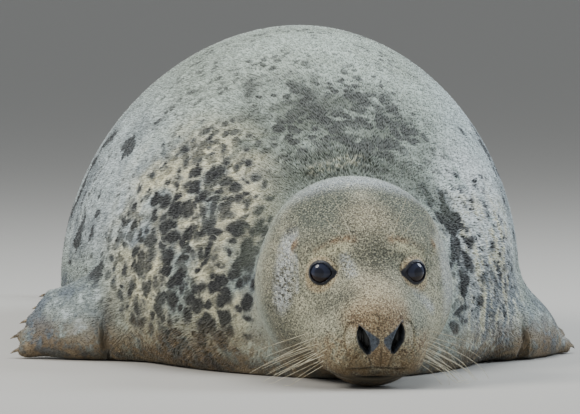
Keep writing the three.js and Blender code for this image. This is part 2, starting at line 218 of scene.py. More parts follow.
class Limb:
    """A flipper in its own axes: along it, across from first toe to last, and out of its back."""

    def __init__(self, root, axes, lumps, rods, toe):
        self.root, self.axes, self.lumps, self.rods, self.toe = root, axes, lumps, rods, toe
        self.webs = []
        for (start_a, end_a), (start_b, end_b) in zip(rods, rods[1:]):
            start = (start_a + start_b) / 2
            self.webs.append((start, start + ((end_a + end_b) / 2 - start) * toe["web"]))

    def inside(self, p):
        return (p - self.root) @ self.axes.T

    def outside(self, q):
        return np.asarray(q) @ self.axes + self.root

    def field(self, p):
        q = self.inside(p)
        near = np.linalg.norm(q - LIMB_MIDDLE, axis=1) < LIMB_REACH
        d = np.full(len(p), 1.0)
        q = q[near]
        e = join(lump(q, *self.lumps[0]), lump(q, *self.lumps[1]), self.toe["softness"])
        for start, end in self.webs:
            e = join(e, rod(q, start, end, WEB_RADIUS, WEB_RADIUS), self.toe["blend"])
        for start, end in self.rods:
            e = join(e, rod(q, start, end, self.toe["base"], self.toe["tip"]), self.toe["blend"])
        d[near] = e
        return d


def fore_limb(side, root, sweep, tilt):
    sweep, tilt = math.radians(sweep), math.radians(tilt)
    along = np.array([side * math.cos(sweep), math.sin(sweep), 0])
    inward = np.array([-side * along[1], abs(along[0]), 0])
    up = np.array([0, 0, 1.0])
    axes = np.stack([along, inward * math.cos(tilt) + up * math.sin(tilt),
                     up * math.cos(tilt) - inward * math.sin(tilt)])
    rods = [(np.array([FORE_TOE["start"], across * 0.8, -0.003]),
             np.array([reach - FORE_TOE["tip"], across * 1.08, -0.006])) for across, reach in FORE_TOES]
    return Limb(np.array(root) * [side, 1, 1], axes, FORE_LUMPS, rods, FORE_TOE)


def hind_limb(side):
    along = unit(np.array([side * math.sin(HIND_SPLAY), math.cos(HIND_SPLAY), -HIND_DROP]))
    outward = unit(np.array([side, 0, 0]) - along * side * along[0])
    up = np.cross(outward, along) * side
    axes = np.stack([along, up * math.cos(HIND_LEAN) + outward * math.sin(HIND_LEAN),
                     outward * math.cos(HIND_LEAN) - up * math.sin(HIND_LEAN)])
    start = HIND_TOE["start"]
    rods = []
    for fan, reach in HIND_TOES:
        fan = math.radians(fan)
        rods.append((np.array([start, start * math.tan(fan) * 0.8, 0]),
                     np.array([reach * math.cos(fan) - HIND_TOE["tip"], reach * math.sin(fan), 0])))
    return Limb(np.array(HIND_ROOT) * [side, 1, 1], axes, HIND_LUMPS, rods, HIND_TOE)


LIMBS = {f"fore_{hand}": fore_limb(side, *FORE[hand]) for hand, side in SIDES.items()}
LIMBS.update({f"hind_{hand}": hind_limb(side) for hand, side in SIDES.items()})


def seal(p):
    """The distance from the tips of the coat, below zero inside."""
    d = body(p)
    for limb in LIMBS.values():
        d = join(d, limb.field(p), LIMB_BLEND)
    return join(d, lump(p, *TAIL), TAIL_BLEND)


SLOPE_STEP = 2e-4
LONGEST_STEP = 0.004


def slope(field, p, level=None):
    """Which way a field rises at each point, and how fast."""
    level = field(p) if level is None else level
    return np.stack([field(p + way) - level for way in np.eye(3) * SLOPE_STEP], 1) / SLOPE_STEP


def settle(field, p, rounds=3):
    """Moves points onto the field's surface."""
    for _ in range(rounds):
        level = field(p)
        grade = slope(field, p, level)
        steep = np.maximum(np.linalg.norm(grade, axis=1), 0.3)
        step = np.clip(level / steep, -LONGEST_STEP, LONGEST_STEP) / steep
        p = p - step[:, None] * grade
    return p


# ---------- the lie of the coat ----------

NOSE_TIP = from_head([0, -0.124, -0.045])
CHIN_POLE = np.array([0, -0.752, 0])


def out_on_limbs(p):
    """0 on the body and 1 out on the flippers and tail."""
    return smooth(0.006, 0.030, body(p))


def by_nose(p, distances, values):
    """A value that changes with the distance from the nose."""
    return np.interp(np.linalg.norm(p - NOSE_TIP, axis=1), distances, values)


def coat_depth(p):
    """How far the skin lies under the tips of the coat."""
    depth = by_nose(p, [0.06, 0.18, 0.42], [0.0012, 0.0022, 0.004])
    return depth + (0.002 - depth) * out_on_limbs(p)


FLOOR_GAP = 0.0012
# The folds between the fore flippers and the flanks: a line's two ends and its radius at each.
ARMPITS = (((-0.266, -0.277, 0.068), (-0.257, -0.287, 0.0), 0.002, 0.0085),
           ((0.248, -0.340, 0.062), (0.252, -0.345, 0.0), 0.002, 0.006))
# Ridges of loose skin across the nape.
NAPE_FOLDS = (((-0.045, -0.468, 0.240), (0.020, -0.456, 0.250)),
              ((-0.010, -0.440, 0.262), (0.045, -0.444, 0.256)))
FOLD_HEIGHT = 0.003


def into_armpit(p):
    """The distance from the nearer of the two folds, below zero in it."""
    return np.minimum(*(rod(p, np.array(start), np.array(end), *radii)
                        for start, end, *radii in ARMPITS))


def skin_field(p):
    """The distance from the skin, with the folds at the fore flippers and over the nape."""
    level = seal(p) + coat_depth(p)
    near = (np.abs(p[:, 1] + 0.35) < 0.15) & (level < 0.05)
    q = p[near]
    folded = -join(-level[near], into_armpit(q), 0.005)
    for start, end in NAPE_FOLDS:
        away = rod(q, np.array(start), np.array(end), 0, 0)
        folded = folded - FOLD_HEIGHT * bell(away, 0.008)
    level[near] = folded
    return np.maximum(level, FLOOR_GAP - p[:, 2])


def lie_of_coat(p, normal):
    """Which way the hairs point: away from the nose, then back and down, and out along the limbs."""
    head = by_nose(p, [0.12, 0.34], [1, 0])[:, None]
    way = unit(p - NOSE_TIP) * head + np.array([0, 1, -0.3]) * (1 - head)
    outer = out_on_limbs(p)[:, None]
    for limb in LIMBS.values():
        mine = (limb.field(p) < 0.012)[:, None] * outer
        way = way * (1 - mine) + limb.axes[0] * mine
    return unit(way - normal * (way * normal).sum(1, keepdims=True))


# Where the coat stands up in damp clumps: left shoulder, nape, behind the right ear, right flank.
RUFFLES = (((0.185, -0.430, 0.150), (0.060, 0.130, 0.120)),
           ((-0.005, -0.455, 0.250), (0.060, 0.045, 0.030)),
           ((-0.100, -0.690, 0.100), (0.020, 0.040, 0.050)),
           ((-0.170, -0.470, 0.040), (0.060, 0.100, 0.030)))


def ruffled(p):
    """1 where the coat stands up and 0 where it lies flat."""
    total = np.zeros(len(p))
    for at, size in RUFFLES:
        total = np.maximum(total, smooth(1.25, 0.65, np.linalg.norm((p - at) / size, axis=1)))
    return total


CLUMP_TURN = np.linalg.qr(np.array([[0.83, 0.31, -0.46], [-0.52, 0.72, 0.45], [0.21, -0.62, 0.76]]))[0]
CLUMP_CHANCE = np.array([[12.9, 39.3, 73.2], [78.2, 11.1, 52.3], [37.7, 94.7, 17.1]])


def to_clump(p, cell):
    """From each point to the middle of its clump, on a turned grid with wavy borders."""
    q = p @ CLUMP_TURN
    q = (q + 0.45 * cell * np.sin(q[:, [1, 2, 0]] * 2.3 / cell)
         + 0.3 * cell * np.sin(q[:, [2, 0, 1]] * 0.9 / cell))
    home = np.floor(q / cell)
    jitter = np.sin(home @ CLUMP_CHANCE) * 43758.5
    return ((home + 0.5 + 0.5 * (jitter % 1 - 0.5)) * cell - q) @ CLUMP_TURN.T


UNWRAP_LEVELS = ([-0.80, -0.62, -0.40, 0, 0.60, 0.95], [0, 0.070, 0.110, 0.150, 0.110, 0.072])
UNWRAP_REACH = ([0, 0.12, 0.27, 0.45, 1.75], [0, 0.22, 0.44, 0.58, 1])
LIMB_STRIP = 0.12
FULL_TURN = 0.96        # the width of the map that one turn round the body takes up


def owner_of(p):
    """The number of the limb a point is on, or -1 on the body."""
    owner = np.full(len(p), -1)
    outer = body(p) > 0.012
    for i, limb in enumerate(LIMBS.values()):
        owner[outer & (limb.field(p) < 0.010)] = i
    return owner


def unwrap(p, normal, owner):
    """Lays the skin flat: rings from the chin back to the tail, and the limbs in their own strip."""
    level = np.interp(p[:, 1], *UNWRAP_LEVELS)
    turn = np.arctan2(p[:, 0], p[:, 2] - level)
    reach = np.interp(np.linalg.norm(p - CHIN_POLE, axis=1), *UNWRAP_REACH)
    uv = np.stack([0.5 + turn / (2 * math.pi) * FULL_TURN,
                   LIMB_STRIP + 0.02 + (0.97 - LIMB_STRIP) * reach], 1)
    for i, limb in enumerate(LIMBS.values()):
        mine = owner == i
        q = limb.inside(p[mine])
        palm = (normal[mine] @ limb.axes[2] < 0).astype(float)
        across = np.clip((q[:, 1] + 0.08) / 0.16, 0.02, 0.98)
        along = np.clip(q[:, 0] / 0.32, 0.02, 0.98)
        uv[mine] = np.stack([(2 * i + palm + along) / 8, LIMB_STRIP * across], 1)
    return uv


# ---------- the face ----------

EYE_WAY = unit(np.array([0.46, -0.80, 0.30]))      # which way the left eye looks, in the head's axes
LID = 0.0014
OPENING = 0.0119
TEAR_CORNER = 0.0019
LID_RIM = 0.0036
RIM_CORNER = 0.0030
NOSE_X = 0.0047
NOSE_LINE = 0.005                   # the middle of the face's colours and of the hairs over the eyes
NOSTRIL_AT = (0.0195, -0.0468)
NOSTRIL_SLANT = math.radians(19)
NOSTRIL_WIDTHS = ([-0.0165, -0.011, -0.003, 0.004, 0.010, 0.0145],
                  [0.0016, 0.0044, 0.0058, 0.0052, 0.0036, 0.0010])
NOSTRIL_DEPTH = 0.012
NOSE_BACK = -0.082
NOT_NOSE = 1.0                      # stands for the distance from a nostril behind the nose
PAD_AT = (0.0305, -0.0500)          # the full pad beside each nostril: how far out, and its level
PAD_SIZE = (0.0090, 0.0150)
MOUTH_LEVEL = ([-0.110, -0.046], [-0.0990, -0.0900])
LIP_LEVEL = -0.0840
EAR_AT = np.array([0.084, 0.013, 0.014])
EAR_RIDGE = (np.array([0.081, 0.008, 0.012]), np.array([0.082, -0.020, -0.028]))


def eye_axes(side):
    """The eye's centre and its own axes: towards the tear corner, up and out."""
    out = EYE_WAY * [side, 1, 1]
    inner = unit(np.array([-side, 0, 0]) - out * (-side * out[0]))
    up = np.cross(out, inner) * side
    return EYE_AT * [side, 1, 1], inner, up * np.sign(up[2]), out


def shape_lids(q, side):
    """Draws the skin over the eyeball and opens it; gives the moved points and how bare they are."""
    centre, inner, up, out = eye_axes(side)
    offset = q - centre
    height = offset @ out
    flat = offset - height[:, None] * out
    radius = np.linalg.norm(flat, axis=1)
    angle = np.arctan2(flat @ up, flat @ inner)
    edge = OPENING + TEAR_CORNER * bell(angle, 0.36) - 0.0006 * np.sin(angle) ** 2
    margin = radius - edge
    near = (radius < 0.030) & (height > 0)
    over = np.sqrt(np.maximum((EYE_RADIUS + LID) ** 2 - radius ** 2, 0))
    lifted = -join(-height, -over, 0.004)
    crease = 0.0010 * bell(margin - 0.0066, 0.0013) * smooth(-0.3, 0.3, np.sin(angle))
    crease += 0.0007 * bell(margin - 0.0072, 0.0012) * smooth(0.0, -0.5, np.sin(angle))
    lip = 0.0005 * bell(margin - 0.0014, 0.0012)
    under = np.sqrt(np.maximum((EYE_RADIUS - 0.003) ** 2 - radius ** 2, 0))
    sunk = np.where(radius < EYE_RADIUS - 0.0035, under, height - 0.0022)
    opened = smooth(0.0005, -0.0009, margin)
    moved = centre + flat + out * (lifted - crease + lip + (sunk - lifted) * opened)[:, None]
    fade = smooth(0.030, 0.026, radius)[:, None] * near[:, None]
    rim = margin - LID_RIM - RIM_CORNER * bell(angle + 0.10, 0.26)
    return q + (moved - q) * fade, smooth(0.0008, -0.0006, rim) * near


def nostril(q, side):
    """The distance from a nostril's edge, below zero inside, and how far out from its middle."""
    x, z = (q[:, 0] - NOSE_X) * side - NOSTRIL_AT[0], q[:, 2] - NOSTRIL_AT[1]
    along = z * math.cos(NOSTRIL_SLANT) + x * math.sin(NOSTRIL_SLANT)
    across = x * math.cos(NOSTRIL_SLANT) - z * math.sin(NOSTRIL_SLANT)
    half = np.interp(along, *NOSTRIL_WIDTHS)
    beyond = np.maximum(NOSTRIL_WIDTHS[0][0] - along, along - NOSTRIL_WIDTHS[0][-1])
    margin = np.maximum(np.abs(across) - half, beyond)
    return np.where(q[:, 1] < NOSE_BACK, margin, NOT_NOSE), across


def nose_leather(q, side, margin, across):
    """1 on the bare leather from a nostril to the middle of the nose: it narrows downward."""
    x, z = (q[:, 0] - NOSE_X) * side - 0.0008, q[:, 2] + 0.0470
    wedge = join(x * 0.50 - z * 0.866 + 0.0024, x * 0.80 + z * 0.60 + 0.0004, 0.003)
    wedge = join(wedge, x - 0.0014, 0.003)
    inside = np.minimum(wedge, 0.0125 - margin)
    leather = smooth(-0.0008, 0.0006, inside) * smooth(-0.0610, -0.0575, q[:, 2])
    return leather * (across < 0.001)


def shape_face(q, normal):
    """Lids, nostrils, lips and ears: the moved points, how bare the skin is and how much painted shade
    lies in its pits and creases.
    """
    bare = np.zeros(len(q))
    # Painted shade: how dark the nostrils, ear holes, mouth, philtrum and creases are painted.
    pit_shade = np.zeros(len(q))
    push = np.zeros(len(q))
    back = np.zeros(len(q))
    front = smooth(NOSE_BACK, -0.096, q[:, 1])
    beside = np.abs(q[:, 0] - NOSE_X)
    for side in SIDES.values():
        margin, across = nostril(q, side)
        on_nose = margin < NOT_NOSE / 2
        outer = ((q[:, 0] - NOSE_X) * side > 0) * front
        hole = smooth(0.0009, -0.0007, margin)
        leather = nose_leather(q, side, margin, across) * on_nose
        back += NOSTRIL_DEPTH * hole
        # The rim stands up round the nostril, with a full pad outside it and a crease round the pad.
        push += 0.0012 * bell(margin - 0.0020, 0.0018) * on_nose
        pad = np.hypot((beside - PAD_AT[0]) / PAD_SIZE[0], (q[:, 2] - PAD_AT[1]) / PAD_SIZE[1])
        push += (0.0030 * smooth(1.3, 0.1, pad) - 0.0018 * bell(pad - 1.18, 0.11)) * outer
        push += 0.0007 * leather
        pit_shade = np.maximum(pit_shade, hole)
        bare = np.maximum(bare, np.maximum(leather, smooth(0.0020, 0.0004, margin) * on_nose))
        # A crease from the nostril's lower end to the lip.
        bow = NOSTRIL_AT[0] - 0.0050 - 0.28 * np.maximum(-0.064 - q[:, 2], 0)
        crease = bell(beside - bow, 0.0009) * smooth(-0.084, -0.080, q[:, 2]) * outer
        crease *= smooth(-0.0585, -0.0625, q[:, 2])
        push -= 0.0009 * crease
        pit_shade = np.maximum(pit_shade, 0.55 * crease)
    philtrum = bell(q[:, 0] - NOSE_X - 0.001, 0.0009)
    philtrum *= smooth(-0.0835, -0.078, q[:, 2]) * smooth(-0.050, -0.056, q[:, 2])
    push -= 0.0016 * philtrum * front
    pit_shade = np.maximum(pit_shade, 0.60 * philtrum * front)
    ahead = smooth(-0.046, -0.062, q[:, 1]) * (q[:, 2] > -0.122)
    below = q[:, 2] - np.interp(q[:, 1], *MOUTH_LEVEL)
    gap = bell(below, 0.0021) * ahead
    push -= 0.0050 * gap
    push += 0.0012 * bell(below - 0.0065, 0.0035) * ahead
    pit_shade = np.maximum(pit_shade, smooth(0.25, 0.8, gap))
    bare = np.maximum(bare, 0.8 * smooth(0.0035, 0.0015, below) * smooth(-0.009, -0.005, below) * ahead)
    fold = bell(q[:, 2] - LIP_LEVEL, 0.0015) * front
    fold *= smooth(0.040, 0.030, np.abs(q[:, 0] - 0.0025))
    push -= 0.0022 * fold
    pit_shade = np.maximum(pit_shade, 0.80 * fold)
    for side in SIDES.values():
        mirrored = q * [side, 1, 1]
        away = np.linalg.norm((mirrored - EAR_AT) / [1, 1, 1.7], axis=1)
        hole = smooth(0.0036, 0.0014, away)
        ridge = rod(mirrored, *EAR_RIDGE, 0, 0)
        push += 0.0024 * bell(ridge, 0.0035) - 0.006 * hole
        push += 0.0012 * bell(away - 0.0055, 0.002)
        pit_shade = np.maximum(pit_shade, 0.8 * hole)
    q = q + normal * push[:, None] + np.array([0, 1, 0]) * back[:, None]
    for side in SIDES.values():
        q, rim = shape_lids(q, side)
        bare = np.maximum(bare, rim)
    return q, bare, pit_shade


def face_distance(p):
    """How far a point is from the nearest of the eyes, the nose, the ears and the lips."""
    q = to_head(p)
    mirrored = np.concatenate([np.abs(q[:, :1]), q[:, 1:]], 1)
    eye = np.linalg.norm(mirrored - (EYE_AT + EYE_WAY * 0.014), axis=1) - 0.022
    nose = np.maximum(np.hypot(q[:, 0] - NOSE_X, q[:, 2] + 0.052) - 0.040, q[:, 1] + 0.090)
    lips = np.maximum(np.abs(q[:, 2] - np.interp(q[:, 1], *MOUTH_LEVEL)) - 0.007, q[:, 1] + 0.045)
    ear = np.linalg.norm(mirrored - EAR_AT, axis=1) - 0.009
    return np.minimum(np.minimum(eye, nose), np.minimum(lips, ear))


# ---------- meshes ----------

def to_scene(name, data):
    made = bpy.data.objects.new(name, data)
    bpy.context.scene.collection.objects.link(made)
    return made


def new_object(name, points, faces):
    """A smooth object of points and faces. The points count from the form's origin."""
    mesh = bpy.data.meshes.new(name)
    mesh.vertices.add(len(points))
    mesh.vertices.foreach_set("co", np.asarray(points + SHIFT, np.float32).ravel())
    corners = faces.shape[1]
    mesh.loops.add(len(faces) * corners)
    mesh.loops.foreach_set("vertex_index", faces.astype(np.int32).ravel())
    mesh.polygons.add(len(faces))
    mesh.polygons.foreach_set("loop_start", np.arange(0, len(faces) * corners, corners, dtype=np.int32))
    mesh.polygons.foreach_set("use_smooth", np.ones(len(faces), bool))
    mesh.update(calc_edges=True)
    mesh.validate()
    return to_scene(name, mesh)


def read(items, name, width=1, kind=np.float32):
    """One property of every item of a mesh, as an array."""
    values = np.empty(len(items) * width, kind)
    items.foreach_get(name, values)
    return values.reshape(-1, width) if width > 1 else values


def points_of(mesh):
    return read(mesh.vertices, "co", 3).astype(float) - SHIFT


def place_points(mesh, points):
    mesh.vertices.foreach_set("co", np.asarray(points + SHIFT, np.float32).ravel())
    mesh.update()


def store(mesh, name, values):
    mesh.attributes.new(name, "FLOAT", "POINT").data.foreach_set("value", np.asarray(values, np.float32))


def store_unwrap(mesh, uv):
    mesh.uv_layers.new(name="OFBake").data.foreach_set("uv", np.asarray(uv, np.float32).ravel())


def finish_piece(made, material, slot, *nodes):
    """Gives a piece its material and hides the nodes that it replaces; the slot is not used."""
    made.data.materials.clear()
    made.data.materials.append(material)
    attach(made, "root")
    if nodes:
        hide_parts(*nodes)


# ---------- shader maths ----------

class Term:
    """A socket of a node tree. Expressions on it add the nodes that work them out."""

    def __init__(self, tree, socket=None):
        self.tree, self.socket = tree, socket

    def node(self, kind, settings=(), inputs=(), output=0):
        """Adds a node: its settings first, then the values or links of its sockets."""
        made = self.tree.nodes.new(kind)
        for name, value in dict(settings).items():
            setattr(made, name, value)
        for key, value in dict(inputs).items():
            if isinstance(value, Term):
                self.tree.links.new(value.socket, made.inputs[key])
            else:
                made.inputs[key].default_value = value
        return Term(self.tree, made.outputs[output])

    def worked(self, operation, *terms):
        """Adds a maths node, for vectors if any of the terms is one."""
        vector = any(isinstance(t, Term) and t.socket.type != "VALUE" for t in terms)
        kind = "ShaderNodeVectorMath" if vector else "ShaderNodeMath"
        spread = [(t, t, t) if vector and isinstance(t, (int, float)) else t for t in terms]
        return self.node(kind, {"operation": operation}, dict(enumerate(spread)))

    def __add__(self, other):
        return self.worked("ADD", self, other)

    def __radd__(self, other):
        return self.worked("ADD", other, self)

    def __sub__(self, other):
        return self.worked("SUBTRACT", self, other)

    def __rsub__(self, other):
        return self.worked("SUBTRACT", other, self)

    def __mul__(self, other):
        return self.worked("MULTIPLY", self, other)

    def __rmul__(self, other):
        return self.worked("MULTIPLY", other, self)

    def __truediv__(self, other):
        return self.worked("DIVIDE", self, other)

    def __abs__(self):
        return self.worked("ABSOLUTE", self)

    def bigger(self, other):
        return self.worked("MAXIMUM", self, other)

    def place(self):
        """The place on the object that is being coloured."""
        return self.node("ShaderNodeTexCoord", {}, {}, "Object")

    def attribute(self, name):
        """A value that the mesh carries."""
        return self.node("ShaderNodeAttribute", {"attribute_name": name}, {}, "Fac")

    def size(self):
        return self.node("ShaderNodeVectorMath", {"operation": "LENGTH"}, {0: self}, "Value")

    def along(self, way):
        return self.node("ShaderNodeVectorMath", {"operation": "DOT_PRODUCT"},
                         {0: self, 1: way}, "Value")

    def parts(self):
        return [self.node("ShaderNodeSeparateXYZ", {}, {0: self}, i) for i in range(3)]

    def joined(self, x, y, z):
        return self.node("ShaderNodeCombineXYZ", {}, {0: x, 1: y, 2: z})

    def ramp(self, low, high):
        """0 at low and 1 at high, softly between."""
        return self.node("ShaderNodeMapRange", {"interpolation_type": "SMOOTHSTEP"},
                         {"Value": self, "From Min": low, "From Max": high})

    def noise(self, scale, detail=2.0, roughness=0.5, twist=0.0):
        return self.node("ShaderNodeTexNoise", {}, {
            "Vector": self, "Scale": scale, "Detail": detail,
            "Roughness": roughness, "Distortion": twist})

    def wavy(self, scale, amount):
        """These coordinates, pushed about by a smooth noise."""
        push = self.node("ShaderNodeTexNoise", {},
                         {"Vector": self, "Scale": scale, "Detail": 2.0}, "Color")
        return self + (push - 0.5) * amount

    def apart(self, scale):
        """The distance from the nearest of many scattered points, in shares of their spacing."""
        return self.node("ShaderNodeTexVoronoi", {}, {"Vector": self, "Scale": scale}, "Distance")

    def spot(self, at, size, soft=0.5):
        """1 in an ellipsoid and 0 outside it, softly."""
        return ((self - tuple(at)) / tuple(size)).size().ramp(1 + soft, 1 - soft)

    def strip(self, start, end, width, soft=0.5):
        """1 along a line from start to end and 0 away from it, softly."""
        run = np.subtract(end, start)
        offset = self - tuple(start)
        share = offset.along(tuple(run / (run @ run))).clamped()
        away = (offset - self.joined(share, share, share) * tuple(run)).size()
        return away.ramp(width * (1 + soft), width * (1 - soft))

    def strips(self, soft, *stretches):
        """1 along any of several strips, each with its start, end and width."""
        first, *others = (self.strip(*stretch, soft) for stretch in stretches)
        for other in others:
            first = first.bigger(other)
        return first

    def clamped(self):
        return self.node("ShaderNodeClamp", {}, {"Value": self})

    def blend(self, first, second, factor):
        """One colour turned into another by a factor."""
        return self.node("ShaderNodeMix", {"data_type": "RGBA"}, {0: factor, 6: first, 7: second}, 2)

    def mixed(self, other, factor):
        """This colour turned into another by a factor."""
        return self.blend(self, other, factor)

    def marked(self, *marks):
        """This colour with marks over it in turn, each a colour and how far it covers."""
        tone = self
        for shade, cover in marks:
            tone = tone.mixed(shade, cover)
        return tone


def new_material(name):
    """An empty material, and the term that its nodes start from."""
    material = bpy.data.materials.new(name)
    material.use_nodes = True
    material.node_tree.nodes.clear()
    return material, Term(material.node_tree)


def finish_material(start, inputs, bump=None):
    """Adds the surface shader: its inputs, and the bump's strength, distance and height."""
    if bump is not None:
        inputs["Normal"] = start.node("ShaderNodeBump", {}, dict(zip(
            ("Strength", "Distance", "Height"), bump)))
    surface = start.node("ShaderNodeBsdfPrincipled", {}, inputs)
    output = start.tree.nodes.new("ShaderNodeOutputMaterial")
    start.tree.links.new(surface.socket, output.inputs["Surface"])


def colour(red, green, blue):
    """An sRGB colour, 0 to 255, as the shader's own linear one."""
    def linear(value):
        value /= 255
        return value / 12.92 if value <= 0.04045 else ((value + 0.055) / 1.055) ** 2.4
    return (linear(red), linear(green), linear(blue), 1.0)


CREAM = colour(236, 231, 196)
WHITE_HAIR = colour(228, 233, 232)
BLUE_WHITE = colour(214, 225, 232)
PALE_BACK = colour(184, 196, 186)
GREEN_GREY = colour(142, 150, 136)
MOSS_GREY = colour(80, 88, 74)
BLUE_GREY = colour(108, 119, 128)
DARK_GREY = colour(62, 66, 62)
NEAR_BLACK = colour(28, 31, 34)
OLIVE = colour(190, 187, 163)
OLIVE_DARK = colour(96, 97, 82)
CROWN_GREY = colour(108, 115, 100)
TAN = colour(206, 184, 144)
BROWN_TAN = colour(176, 138, 98)
BROWN = colour(112, 84, 58)
SANDY = colour(128, 106, 72)
DAMP_AND_SHADE = colour(72, 62, 46)
# Also used as painted shade in the folds beside the fore flippers
NOSE_LEATHER = colour(92, 102, 114)
LID_BLACK = colour(17, 21, 33)
LIP_BROWN = colour(80, 74, 58)
EYE_BROWN = colour(30, 16, 13)
# Painted reflection of the sky in the eye
SKY_REFLECTION_BLUE = colour(44, 49, 68)
EYE_EDGE = colour(12, 10, 14)
PUPIL = colour(10, 7, 8)
HORN_DARK = colour(74, 64, 52)
HORN_PALE = colour(158, 142, 116)
WHISKER_PALE = colour(232, 224, 196)
WHISKER_DARK = colour(176, 160, 124)
SPECK_BLACK = (0.008, 0.008, 0.006, 1)
# Painted shade between the hairs.
HAIR_GAP_SHADE = (0.004, 0.004, 0.003, 1)        # between the hairs
# Painted shade in the nostrils, ears, lips, creases and the folds beside the fore flippers.
PIT_SHADE_BLACK = (0.003, 0.003, 0.003, 1)        # in the nostrils, ears and lips
SHEEN = {"Sheen Weight": 0.12, "Sheen Roughness": 0.4}


STRETCH = (0.95, 0.65, 1.0)         # draws the blotches out from head to tail
# Dark streaks that run down over the nape towards the head: start, end and width.
STREAKS = (((-0.026, -0.285, 0.338), (-0.004, -0.372, 0.300), 0.010),
           ((0.036, -0.305, 0.334), (0.050, -0.335, 0.318), 0.010),
           ((0.085, -0.300, 0.326), (0.100, -0.360, 0.292), 0.009),
           ((0.060, -0.330, 0.316), (0.075, -0.365, 0.298), 0.009),
           ((-0.075, -0.240, 0.345), (-0.085, -0.275, 0.330), 0.009),
           ((0.016, -0.402, 0.280), (0.030, -0.425, 0.266), 0.008))
# Dark coat on the left shoulder, close beside the head.
BESIDE_HEAD = (((0.122, -0.462, 0.214), (0.150, -0.480, 0.150), 0.026),
               ((0.148, -0.485, 0.150), (0.138, -0.528, 0.060), 0.028))
# Shaded coat that shows over the top of the head.
BEHIND_HEAD = (((-0.112, -0.519, 0.148), (-0.060, -0.467, 0.230), 0.026),
               ((-0.060, -0.467, 0.230), (0.082, -0.448, 0.240), 0.030),
               ((0.082, -0.448, 0.240), (0.132, -0.458, 0.200), 0.024))
# Painted shade in the folds beside the fore flippers.
ARMPIT_SHADE = (((-0.266, -0.283, 0.085), (-0.256, -0.283, 0.0), 0.014),
              ((0.266, -0.342, 0.085), (0.256, -0.342, 0.0), 0.014))


